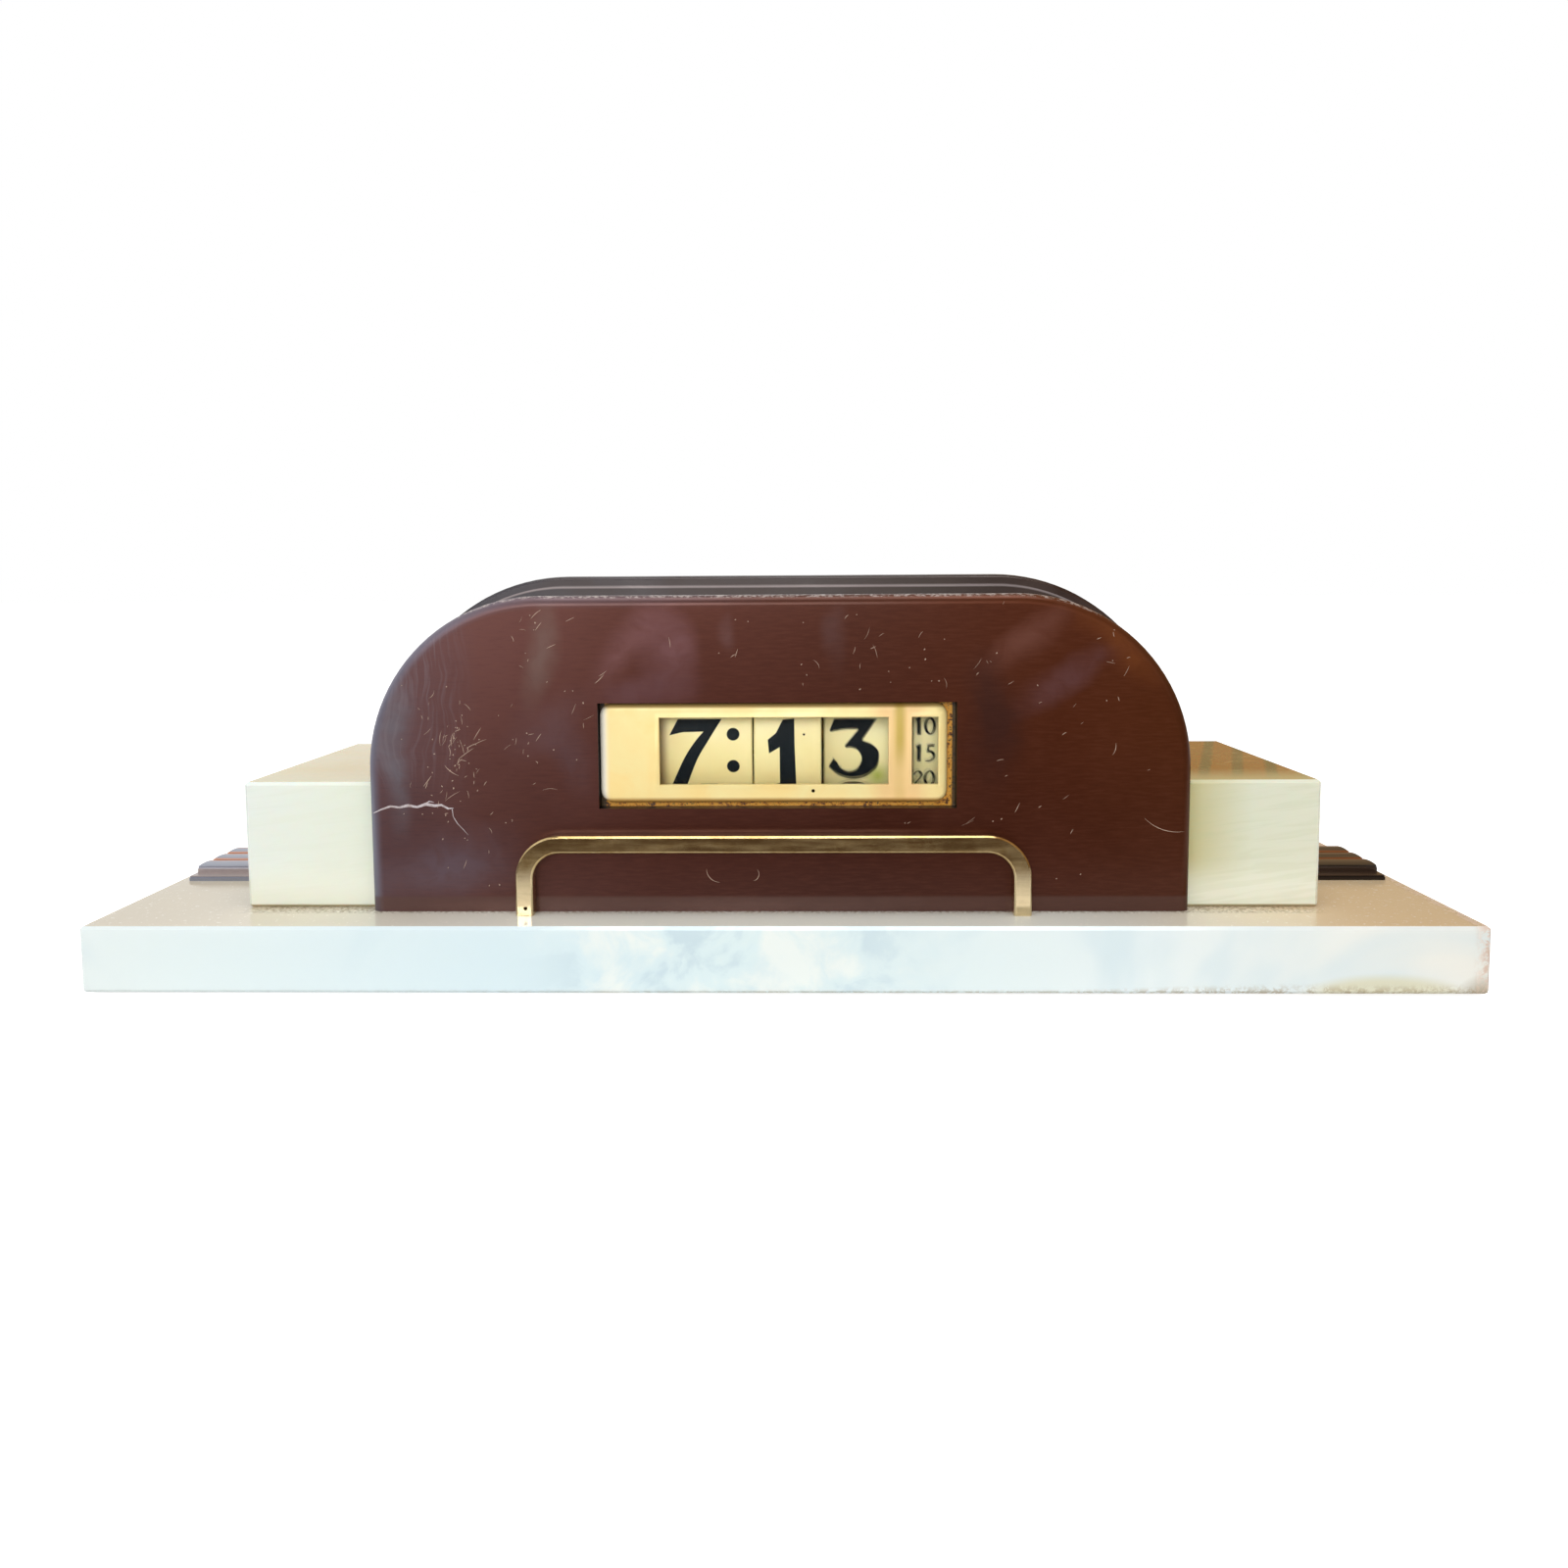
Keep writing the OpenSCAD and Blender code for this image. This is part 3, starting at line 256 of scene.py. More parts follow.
# %% [markdown]
# ## A start for every finish
#
# Each finish is a Principled shader with the shine that its real material has. Patterns
# read the object's own coordinates, which here are metres in the clock's frame, so
# a pattern stays on its piece when a drum turns. Stretching the coordinates one way
# makes brush lines and bands, and a ball-shaped gradient marks one patch. The frame's
# pieces only get a new material, no new shape.

# %% Start a finish, and give it to pieces
def finish(name, **shine):
    """A new material with the given values on its shader, and the point on the surface."""
    made = bpy.data.materials.new(name)
    made.use_nodes = True
    tree = made.node_tree
    shader = tree.nodes["Principled BSDF"]
    for socket, value in shine.items():
        shader.inputs[socket.replace("_", " ")].default_value = value
    return made, tree, shader, add(tree, "TexCoord", out="Object")


def give(material, *names):
    """Puts a finish on pieces of the frame."""
    for name in names:
        nodes[name].data.materials.clear()
        nodes[name].data.materials.append(material)
    print(material.name, "on", len(names), "pieces,", len(material.node_tree.nodes), "nodes")


def lines_on(tree, point, stretch, size_mm, detail, roughness=0.5):
    """A noise on coordinates that are stretched or squeezed, so that it draws lines."""
    point = add(tree, "Mapping", {"Vector": point, "Scale": stretch})
    return add(tree, "TexNoise", {"Vector": point, "Scale": every(size_mm), "Detail": detail, "Roughness": roughness})


def ball_at(tree, point, place_mm, size_mm, lean=0.0):
    """A ball-shaped patch, full in its middle, that leans by some degrees about Y."""
    point = add(tree, "Mapping", {"Vector": point, "Location": mm(*place_mm), "Scale": mm(*size_mm),
                                  "Rotation": (0, -math.radians(lean), 0)}, vector_type="TEXTURE")
    return add(tree, "TexGradient", {"Vector": point}, gradient_type="SPHERICAL")


def coat_of(tree, shader, colour, dullness, bumps=None, height_mm=0.01):
    """Links a finish's colour, dullness and bumps to its shader.

    The dullness is a socket, or a pattern with the least and the most dullness. These two lie at 0.3 and 0.7 of
    the pattern, unless two more numbers say where.
    """
    if isinstance(dullness, tuple):
        pattern, least, most, *places = dullness
        start, end = places or (0.3, 0.7)
        dullness = add(tree, "MapRange", {"Value": pattern, "From Min": start, "From Max": end, "To Min": least,
                                          "To Max": most})
    tree.links.new(colour, shader.inputs["Base Color"])
    tree.links.new(dullness, shader.inputs["Roughness"])
    if bumps:
        raised = add(tree, "Bump", {"Height": bumps, "Distance": mm(height_mm), "Strength": 1.0})
        tree.links.new(raised, shader.inputs["Normal"])


# %% [markdown]
# ## Pale onyx
#
# The slab is onyx marble: calcite laid down in water, sawn and polished. Light goes
# a few millimetres into it, so it looks milky, and white clouds with blue-grey hollows
# run through the middle of its front. Calcite has an index of 1.6. One wide noise tints
# the milk, and a second, held to the middle by two soft steps in X, draws the clouds.

# %% Pale onyx: milk and clouds
onyx, tree, shader, spot = finish("polished_pale_onyx", IOR=1.58, Subsurface_Weight=0.18, Subsurface_Scale=mm(5),
                                  Subsurface_Radius=(1.0, 0.95, 0.85))
x, y, z = add(tree, "SeparateXYZ", {0: spot}).node.outputs
along = add(tree, "MapRange", {"Value": x, "From Min": mm(-165), "From Max": mm(165)})
stone = add(tree, "ValToRGB", {"Fac": along}, stops=((0.0, "#e9f3f3"), (0.3, "#dceef5"), (0.5, "#e0f1f4"),
                                                     (0.75, "#eaf4f6"), (1.0, "#f2f0e8")))
milk = add(tree, "TexNoise", {"Vector": spot, "Scale": every(50), "Detail": 3, "Distortion": 0.8})
stone = stained(tree, stone, "#cde2ec", (milk, 0.5, 0.7, 0.5))
lumps = add(tree, "TexNoise", {"Vector": spot, "Scale": every(15), "Detail": 7, "Roughness": 0.55, "Distortion": 0.35})
patch = within(tree, (x, mm(-66), mm(-36)), (x, mm(48), mm(12)))
stone = stained(tree, stone, "#f7fbf6", (lumps, 0.46, 0.64, 0.7), patch)
stone = stained(tree, stone, "#c2d8e4", (lumps, 0.47, 0.36, 0.6), patch)
print("stone and clouds,", len(tree.nodes), "nodes")

# %% [markdown]
# The top carries a warm, tea-like painted reflection, most of all towards its ends, and
# its colour is picked by which way the surface faces; real dust lies over it. Dirt sits in the pores along the bottom
# edge, mostly to the right, and the right end was knocked, so it is rough and pinkish there.

# %% Pale onyx: painted top reflection and dirt
up = add(tree, "SeparateXYZ", {0: add(tree, "NewGeometry", out="True Normal")}, out="Z")
# the top's warm tone is a painted reflection, paler at the left end and warmer at the right
top_reflection_and_dust = stained(tree, paint("#ddcdb0"), "#eeeee4", (x, mm(-160), mm(-40)))
top_reflection_and_dust = stained(tree, top_reflection_and_dust, "#e6c89c", (x, mm(60), mm(150)))
dust = add(tree, "TexNoise", {"Vector": spot, "Scale": every(1.3), "Detail": 4, "Roughness": 0.7})
top_reflection_and_dust = stained(tree, top_reflection_and_dust, "#fff8ea", (dust, 0.60, 0.66, 0.8))
# brown dust lies along the foot of the case
swept = add(tree, "Math", {0: y}, operation="ABSOLUTE")
grit = add(tree, "TexNoise", {"Vector": spot, "Scale": every(0.8), "Detail": 3, "Roughness": 0.7})
aside = add(tree, "Math", {0: x}, operation="ABSOLUTE")
reach = add(tree, "MapRange", {"Value": aside, "From Min": mm(134), "From Max": mm(128)})
top_reflection_and_dust = stained(tree, top_reflection_and_dust, "#7a6238", (swept, mm(39.2), mm(36.8), 0.7), (grit, 0.42, 0.6), reach)
# the tops take the painted reflection, with its dust
stone = stained(tree, stone, top_reflection_and_dust, (up, 0.80, 0.97, 0.92))
yellowed = ball_at(tree, spot, (141, -50, 0), (22, 20, 6.5))
stone = stained(tree, stone, "#dcd9be", (yellowed, 0, 0.4, 0.9))
corner = ball_at(tree, spot, (164, -50, 1), (7, 12, 5))
stone = stained(tree, stone, "#a08c68", corner)
pores = add(tree, "TexNoise", {"Vector": spot, "Scale": every(2.4), "Detail": 9, "Roughness": 0.8, "Distortion": 0.3})
pores = within(tree, (pores, 0.44, 0.56))
edge = within(tree, (x, mm(60), mm(120), mm(4), mm(2.4)))
share = add(tree, "MapRange", {"Value": x, "From Min": mm(-120), "From Max": mm(60), "To Min": 0.1, "To Max": 0.9})
stone = stained(tree, stone, "#9c8350", (z, edge, mm(0.4)), share, pores)
knocked = within(tree, (x, mm(160.5), mm(164.5)), pores)
stone = stained(tree, stone, "#d9bfae", knocked)
rub = add(tree, "TexNoise", {"Vector": spot, "Scale": every(18), "Detail": 5})
rub = add(tree, "MapRange", {"Value": rub, "From Min": 0.35, "From Max": 0.75, "To Min": 0.10, "To Max": 0.22})
rub = add(tree, "Math", {0: rub, 1: add(tree, "Math", {0: knocked, 1: 0.5}, operation="MULTIPLY")}, operation="ADD")
skin = add(tree, "TexNoise", {"Vector": spot, "Scale": every(2.5), "Detail": 6, "Roughness": 0.7})
coat_of(tree, shader, stone, rub, skin, 0.012)
give(onyx, "onyx_slab")

# %% [markdown]
# ## Green onyx
#
# The two blocks are a yellow-green onyx. The right one was sawn across its layers, so
# they show as fine waves that climb to the right, and as greenish bars on its top. The
# left one shows little. A noise that is squeezed along the layers draws them, on
# coordinates that are turned by the layers' slope.

# %% Green onyx: fronts
green, tree, shader, spot = finish("polished_green_onyx", IOR=1.58, Subsurface_Weight=0.15, Subsurface_Scale=mm(4))
x, y, z = add(tree, "SeparateXYZ", {0: spot}).node.outputs
along = add(tree, "MapRange", {"Value": x, "From Min": mm(-145), "From Max": mm(145)})
# the olive stop just right of the case is painted shade beside the case
stone = add(tree, "ValToRGB", {"Fac": along}, stops=((0.0, "#f0f8f6"), (0.16, "#eef4e4"), (0.84, "#c8bf86"),
                                                     (0.90, "#e4e8d4"), (0.97, "#e8ead8"), (1.0, "#e8dabc")))
stone = stained(tree, stone, "#f1f4e6", (z, mm(30), mm(19), 0.85))
slope = add(tree, "Mapping", {"Vector": spot, "Rotation": (0, -0.13, 0), "Scale": (12, 3, 1)}, vector_type="TEXTURE")
layers = add(tree, "TexNoise", {"Vector": slope, "Scale": every(1.3), "Detail": 2, "Distortion": 0.6})
right = add(tree, "MapRange", {"Value": x, "From Min": mm(0), "From Max": mm(60), "To Min": 0.04, "To Max": 0.15})
stone = stained(tree, stone, "#c2c8a2", (layers, 0.42, 0.66, right))
glint = add(tree, "TexNoise", {"Vector": slope, "Scale": every(14), "Detail": 3, "Distortion": 0.8})
stone = stained(tree, stone, "#f1f5e6", (glint, 0.55, 0.75, 0.6))
print("fronts,", len(tree.nodes), "nodes")

# %% Green onyx: tops, with painted reflection
up = add(tree, "SeparateXYZ", {0: add(tree, "NewGeometry", out="True Normal")}, out="Z")
# the tops' tone, pale at the left and warm brown at the right, is a painted reflection; the bars and grain are the
# stone's own, and the tops are painted paler towards the front
top_reflection_and_bars = add(tree, "ValToRGB", {"Fac": along}, stops=((0.0, "#e8d898"), (0.16, "#d8b65e"), (0.84, "#a87214"),
                                                    (1.0, "#b07c38")))
lengthwise = add(tree, "Mapping", {"Vector": spot, "Rotation": (0, 0, -0.345), "Scale": (1, 20, 1)},
                 vector_type="TEXTURE")
# a wave texture repeats 3.2 times within its scale, and these bars are 8 mm apart
bars = add(tree, "TexWave", {"Vector": lengthwise, "Scale": every(8 * 3.2), "Distortion": 0.7}, out="Fac")
rightward = add(tree, "MapRange", {"Value": x, "From Max": mm(60)})
top_reflection_and_bars = stained(tree, top_reflection_and_bars, "#626a36", (bars, 0.55, 0.95, 0.8), rightward)
grain = add(tree, "TexNoise", {"Vector": spot, "Scale": every(4), "Detail": 6, "Roughness": 0.7, "Distortion": 1})
top_reflection_and_bars = stained(tree, top_reflection_and_bars, "#e6cf8c", (grain, 0.5, 0.75, 0.4))
top_reflection_and_bars = stained(tree, top_reflection_and_bars, "#ddcf94", (y, mm(-12), mm(-33), 0.95))
stone = stained(tree, stone, top_reflection_and_bars, (up, 0.85, 0.98))
# glue and dust along the foot of the blocks
stone = stained(tree, stone, "#a98f50", (z, mm(17.9), mm(17.3), 0.7))
rub = add(tree, "TexNoise", {"Vector": spot, "Scale": every(14), "Detail": 5})
skin = add(tree, "TexNoise", {"Vector": spot, "Scale": every(2), "Detail": 6, "Roughness": 0.7})
coat_of(tree, shader, stone, (rub, 0.10, 0.22, 0.35, 0.75), skin, 0.01)
give(green, "wing_left", "wing_right")

# %% [markdown]
# ## Brushed bronze under lacquer
#
# The arched plate is bronze sheet. It was brushed from end to end, coloured red-brown
# in a chemical bath, and lacquered. Brush lines are long and thin, so the coordinates
# are squeezed along X before they reach the noise. Real ones are about 0.3 mm apart,
# which is too fine to show here, so they are drawn 0.6 mm apart and faint. The
# distance from the arched rim is worked out as well: cloths and hands wore the colour there,
# and the rounded edge gets a painted highlight. The left end is painted greyer and pinker, as painted sheen.

# %% Bronze plate: bath and brushing
bronze, tree, shader, spot = finish("brushed_lacquered_bronze", Metallic=0.4, Anisotropic=0.5, Coat_Weight=0.12,
                                    Coat_Roughness=0.14, Specular_IOR_Level=0.15)
x, y, z = add(tree, "SeparateXYZ", {0: spot}).node.outputs
along = add(tree, "MapRange", {"Value": x, "From Min": mm(-100), "From Max": mm(100)})
# the greyer, pinker left end of the ramp is painted sheen
plate_colour_and_light = add(tree, "ValToRGB", {"Fac": along}, stops=((0.0, "#70585e"), (0.14, "#6c4642"), (0.35, "#562e26"),
                                                    (0.6, "#4b2418"), (0.85, "#52240e"), (1.0, "#582a10")))
plate_colour_and_light = stained(tree, plate_colour_and_light, "#3a1a13", (z, mm(70), mm(24), 0.5))
lines = lines_on(tree, spot, (0.12, 1, 1), 0.6, 4, 0.65)
plate_colour_and_light = stained(tree, plate_colour_and_light, "#7a4a3a", (lines, 0.42, 0.68, 0.1))
plate_colour_and_light = stained(tree, plate_colour_and_light, "#2a1310", (lines, 0.5, 0.3, 0.11))
print("bath and brushing,", len(tree.nodes), "nodes")

# %% [markdown]
# Soft clouds are painted into the lacquer's colour: mostly painted reflections, with some haze of old lacquer.
# Each is a ball-shaped patch, stretched and turned to the place and slope of one cloud, on coordinates
# that a wide noise has warped, and a finer noise tears them all into wisps.

# %% Bronze plate: painted reflections
warp = add(tree, "TexNoise", {"Vector": spot, "Scale": every(26), "Detail": 3}, out="Color")
warp = add(tree, "VectorMath", {0: warp, 1: (0.5, 0.5, 0.5)}, operation="SUBTRACT")
warp = add(tree, "VectorMath", {0: warp, 1: mm(16, 0, 16), 2: spot}, operation="MULTIPLY_ADD")
wisps = add(tree, "TexNoise", {"Vector": warp, "Scale": every(7), "Detail": 4, "Distortion": 1.2})
wisps = add(tree, "MapRange", {"Value": wisps, "From Min": 0.3, "From Max": 0.6, "To Min": 0.6})
CLOUDS_OF_REFLECTION = [  # X and Z of the middle, half length, half width, slope in degrees, colour, share
    (-58, 80, 18, 6, 76, "#7d6a64", 0.5), (-37, 82, 19, 7, 56, "#80585a", 0.5), (-27, 81, 16, 8, -74, "#825c62", 0.5),
    (-32, 70, 16, 6, 8, "#72525a", 0.4), (-56, 63, 16, 9, 30, "#72565a", 0.4),
    (-50, 56, 14, 8, -60, "#66525a", 0.35), (62, 83, 20, 6, 46, "#7a4e44", 0.5),
    (69, 73, 22, 5, 38, "#6a4648", 0.6), (52, 62, 9, 22, 4, "#301f20", 0.5), (-12, 86, 4, 7, 0, "#6a4c4c", 0.45),
    (15, 84, 4, 11, 0, "#5e4545", 0.4), (-82, 28, 24, 12, 10, "#6a5c68", 0.6), (84, 84, 20, 8, -40, "#7a421e", 0.6),
    (-94, 58, 26, 6, 90, "#7c808c", 0.6),
]
PLATE_Y = -36.6  # where the plate's front stands, in millimetres
# each cloud is a painted reflection in the lacquer
for mid_x, mid_z, half, wide, lean, colour, share in CLOUDS_OF_REFLECTION:
    ball = ball_at(tree, warp, (mid_x, PLATE_Y, mid_z), (half, 30, wide), lean)
    plate_colour_and_light = stained(tree, plate_colour_and_light, colour, (ball, 0, 0.95, share), wisps)
print(len(CLOUDS_OF_REFLECTION), "clouds of bloom,", len(tree.nodes), "nodes")

# %% Distance from the arch
ARCH_X, ARCH_Z, ARCH_R = 57.5, 51.7, 42.5  # the middles of the case's round corners, and their radius


def from_arch(tree, x, z):
    """How far a point stands outside the case's arch, in metres."""
    aside = add(tree, "Math", {0: add(tree, "Math", {0: x}, operation="ABSOLUTE"), 1: mm(ARCH_X)}, operation="SUBTRACT")
    aside = add(tree, "Math", {0: aside, 1: 0}, operation="MAXIMUM")
    above = add(tree, "Math", {0: add(tree, "Math", {0: z, 1: mm(ARCH_Z)}, operation="SUBTRACT"), 1: 0},
                operation="MAXIMUM")
    away = add(tree, "VectorMath", {0: add(tree, "CombineXYZ", {"X": aside, "Y": above})}, out="Value",
               operation="LENGTH")
    return add(tree, "Math", {0: away, 1: mm(ARCH_R)}, operation="SUBTRACT")


# %% Bronze plate: rim wear and highlight, painted sheen, opening shade and foot
rim = from_arch(tree, x, z)
# the rim band is worn colour with a painted highlight on the rounded edge, bluish grey on the left
rim_highlight_and_wear = add(tree, "ValToRGB", {"Fac": along}, stops=((0.0, "#868ca0"), (0.2, "#6c6068"), (0.5, "#523228"),
                                                         (0.8, "#5a2e16"), (1.0, "#4a230c")))
plate_colour_and_light = stained(tree, plate_colour_and_light, rim_highlight_and_wear, (rim, mm(-3.5), mm(-0.3), 0.75))
dust = add(tree, "TexNoise", {"Vector": spot, "Scale": every(1.1), "Detail": 4, "Roughness": 0.7})
plate_colour_and_light = stained(tree, plate_colour_and_light, "#c2b6b0", (dust, 0.45, 0.6), (rim, mm(-0.8), mm(-0.3), 0.8), (z, mm(86), mm(92)))
# grey streaks at the left are painted sheen in the lacquer
sheen_streaks = lines_on(tree, warp, (1, 1, 0.05), 0.8, 2)
plate_colour_and_light = stained(tree, plate_colour_and_light, "#8d8088", (sheen_streaks, 0.45, 0.7), (x, mm(-72), mm(-86), 0.28), (z, mm(44), mm(62)))
# the walls of the window opening are painted near-black, as painted shade
aside = add(tree, "Math", {0: x}, operation="ABSOLUTE")
inside = add(tree, "MapRange", {"Value": aside, "From Min": mm(48), "From Max": mm(46)})
wall_shade = add(tree, "MapRange", {"Value": y, "From Min": mm(-36.58), "From Max": mm(-36.3), "To Max": 0.95})
low = add(tree, "MapRange", {"Value": z, "From Min": mm(74), "From Max": mm(72)})
plate_colour_and_light = stained(tree, plate_colour_and_light, "#0e0b0a", inside, wall_shade, low)
plate_colour_and_light = stained(tree, plate_colour_and_light, "#5e4640", (z, mm(21.2), mm(20.2), 0.6))
dull = add(tree, "TexNoise", {"Vector": warp, "Scale": every(24), "Detail": 4})
coat_of(tree, shader, plate_colour_and_light, (dull, 0.32, 0.46, 0.35, 0.7), lines, 0.004)
give(bronze, "case_front")

# %% [markdown]
# ## Darker bronze
#
# The band over the case and the shell had a longer chemical colouring and no brushing. They are
# charcoal brown, with a painted bluish-grey reflection towards the left, and a pale
# painted highlight lies along the upper edge of the band's flat lip. That lip stands
# 2.2 mm above the arch, so the same distance finds it.

# %% Crown and shell
crown, tree, shader, spot = finish("bath_darkened_bronze", Metallic=0.35, Coat_Weight=0.15, Coat_Roughness=0.2)
x, y, z = add(tree, "SeparateXYZ", {0: spot}).node.outputs
blot = add(tree, "TexNoise", {"Vector": spot, "Scale": every(16), "Detail": 5, "Distortion": 0.5})
along = add(tree, "MapRange", {"Value": x, "From Min": mm(-100), "From Max": mm(100)})
# painted reflection: bluish grey towards the left, darker brown to the right
tone = add(tree, "ValToRGB", {"Fac": along}, stops=((0.0, "#4a4850"), (0.3, "#362e31"), (0.7, "#322622"),
                                                    (1.0, "#361b10")))
tone = stained(tree, tone, "#4c3d38", (blot, 0.42, 0.7, 0.35))
over = from_arch(tree, x, z)
# a painted highlight along the upper edge of the lip
tone = stained(tree, tone, "#94898a", (over, mm(1.5), mm(2.0)), (over, mm(2.6), mm(2.3)), (y, mm(-1.6), mm(-2.0), 0.85))
skin = add(tree, "TexNoise", {"Vector": spot, "Scale": every(1.2), "Detail": 5, "Roughness": 0.7})
coat_of(tree, shader, tone, (blot, 0.3, 0.48), skin, 0.006)
give(crown, "crown_moulding", "case_shell")

# %% [markdown]
# The reeded strips on the slab are the same bronze. A copper-coloured painted reflection
# lies along the tops of their reeds. A reed is 8.1 mm wide, so a cosine with that period across the
# strip puts the copper on every crest, and a squeezed noise breaks it into streaks. The left
# strip is painted pale bluish grey and the right one near black, as painted light and shade.

# %% Reeded strips
strips, tree, shader, spot = finish("rubbed_reeded_bronze", Metallic=0.45, Coat_Weight=0.25, Coat_Roughness=0.18)
x, y, z = add(tree, "SeparateXYZ", {0: spot}).node.outputs
CREST, REED = -2.25, 8.1  # where the front reed's top lies in Y, and a reed's width, in millimetres
along = add(tree, "MapRange", {"Value": x, "From Min": mm(-160), "From Max": mm(160)})
# painted light and shade: the left strip pale bluish grey, the right one near black
tone = add(tree, "ValToRGB", {"Fac": along}, stops=((0.0, "#8e92a2"), (0.12, "#84848e"), (0.88, "#1e0f09"),
                                                    (1.0, "#1a0f0b")))
crest = add(tree, "Math", {0: add(tree, "Math", {0: y, 1: mm(CREST)}, operation="SUBTRACT"), 1: mm(REED)},
            operation="DIVIDE")
crest = add(tree, "Math", {0: add(tree, "Math", {0: crest, 1: math.tau}, operation="MULTIPLY")}, operation="COSINE")
streak = lines_on(tree, spot, (0.08, 1, 1), 2.2, 4)
crest = add(tree, "Math", {0: streak, 1: 1.6, 2: crest}, operation="MULTIPLY_ADD")
# a copper painted reflection on the reed crests
crest_reflection = add(tree, "Mix", {"Factor": along, "A": paint("#d08a62"), "B": paint("#8e4c1c")}, **COLOUR)
tone = stained(tree, tone, crest_reflection, (crest, 0.6, 1.4, 0.9), (y, mm(1.5), mm(3.5)))
# a painted highlight along the front lip, pale on the left
lip_highlight = add(tree, "Mix", {"Factor": along, "A": paint("#c0a898"), "B": paint("#4a3424")}, **COLOUR)
tone = stained(tree, tone, lip_highlight, (z, mm(17.9), mm(18.3)), (y, mm(-1.2), mm(-2.0), 0.6))
coat_of(tree, shader, tone, (streak, 0.28, 0.42), streak, 0.01)
give(strips, "strip_left", "strip_right")

# %% [markdown]
# ## Brass
#
# Three kinds of brass are in this clock. The rail is solid bar, ground flat and buffed,
# so its mirror is nearly clean. The window frame is pressed sheet with a pale gilt
# lacquer, satin, and worn to brown at its flange. Pillars and gears are turned or cut
# and left satin. Brass is a metal, so its colour is the colour of its reflection.

# %% Buffed rail
rail, tree, shader, spot = finish("buffed_brass_bar", Metallic=1.0)
spots = add(tree, "TexNoise", {"Vector": spot, "Scale": every(5), "Detail": 6, "Roughness": 0.7, "Distortion": 0.4})
tone = add(tree, "ValToRGB", {"Fac": spots}, stops=((0.45, "#d8be8c"), (0.75, "#b08c56")))
# painted reflection: the legs are painted paler lower down, and the upper face darker
height = add(tree, "SeparateXYZ", {0: spot}, out="Z")
tone = stained(tree, tone, "#ecdcb8", (height, mm(30), mm(26), 0.6))
tone = stained(tree, tone, "#8e7444", (height, mm(36.05), mm(36.3), 0.7))
wipe = lines_on(tree, spot, (0.1, 1, 1), 1.2, 4)
coat_of(tree, shader, tone, (wipe, 0.10, 0.22, 0.3, 0.75), wipe, 0.003)
eased = add(tree, "Bevel", {"Radius": mm(0.2)}, samples=6)  # the buff rounds the bar's edges
tree.links.new(eased, shader.inputs["Normal"].links[0].from_node.inputs["Normal"])
give(rail, "brass_rail")

# %% Gilt window frame
gilt, tree, shader, spot = finish("gilt_lacquered_brass", Metallic=0.12, Coat_Weight=0.1, Coat_Roughness=0.1)
x, y, z = add(tree, "SeparateXYZ", {0: spot}).node.outputs
sheen = add(tree, "TexNoise", {"Vector": spot, "Scale": every(11), "Detail": 5, "Distortion": 0.6})
tone = add(tree, "ValToRGB", {"Fac": sheen}, stops=((0.3, "#ffeeac"), (0.8, "#ffdd8e")))
# the bar between the windows is rubbed pink at its sides and stained green-brown in its middle
bar = add(tree, "Math", {0: x, 1: mm(29.7)}, operation="SUBTRACT")
bar = add(tree, "Math", {0: bar}, operation="ABSOLUTE")
tone = stained(tree, tone, "#f6c68c", (bar, mm(9), mm(3), 0.6))
tone = stained(tree, tone, "#c6aa48", (bar, mm(2.2), mm(0.2), 0.9), (z, mm(50), mm(60), 1, 0.25))
# the left roll is painted nearly white as a painted highlight, and the lower one is browner
tone = stained(tree, tone, "#fffaf0", (x, mm(-40.6), mm(-42.4), 0.9))
tone = stained(tree, tone, "#c98a2c", (z, mm(45.2), mm(44.0), 0.85))
# the top roll is darkened as painted shade
tone = stained(tree, tone, "#a47c3a", (z, mm(66.6), mm(67.5), 0.8))
pits = add(tree, "TexNoise", {"Vector": spot, "Scale": every(1.4), "Detail": 6, "Roughness": 0.75})
rust = add(tree, "ValToRGB", {"Fac": pits}, stops=((0.39, "#4a2e0e"), (0.45, "#c8801e"), (0.51, "#f4b038"),
                                                   (0.58, "#e0a43c"), (0.65, "#3a3218")))
# the flange shows rusty specks, and is nearly black at both its ends
ends = add(tree, "Math", {0: x, 1: mm(0.2)}, operation="SUBTRACT")
ends = add(tree, "Math", {0: ends}, operation="ABSOLUTE")
rust = stained(tree, rust, "#20231a", (ends, mm(42.2), mm(42.6), 0.9))
tone = stained(tree, tone, rust, (y, mm(-34.9), mm(-33.4)))
tone = stained(tree, tone, "#a8743a", (pits, 0.68, 0.76, 0.6))
skin = add(tree, "TexNoise", {"Vector": spot, "Scale": every(3), "Detail": 5})
coat_of(tree, shader, tone, (sheen, 0.34, 0.5), skin, 0.012)
give(gilt, "bezel")

# %% [markdown]
# The pressed frame was built from flat facets. Its normals are set again from the angle
# between faces, so that rolled edges look round and the window edges stay crisp, and the
# large flats weigh most, so that they stay flat.

# %% Round the frame's shading
def shade_by_angle(name, degrees):
    """Smooth shading where faces meet at less than degrees."""
    mesh = nodes[name].data
    for layer in ("custom_normal", "sharp_face"):
        if mesh.attributes.get(layer):
            mesh.attributes.remove(mesh.attributes[layer])
    weld = nodes[name].modifiers.new("weld", "WELD")
    weld.merge_threshold = mm(0.001)
    crisp = nodes[name].modifiers.new("crisp", "EDGE_SPLIT")
    crisp.split_angle, crisp.use_edge_sharp = math.radians(degrees), False
    mesh.shade_smooth()
    level = nodes[name].modifiers.new("level", "WEIGHTED_NORMAL")
    level.keep_sharp, level.weight = True, 100
    print(name, "shaded smooth below", degrees, "degrees")


shade_by_angle("bezel", 35)

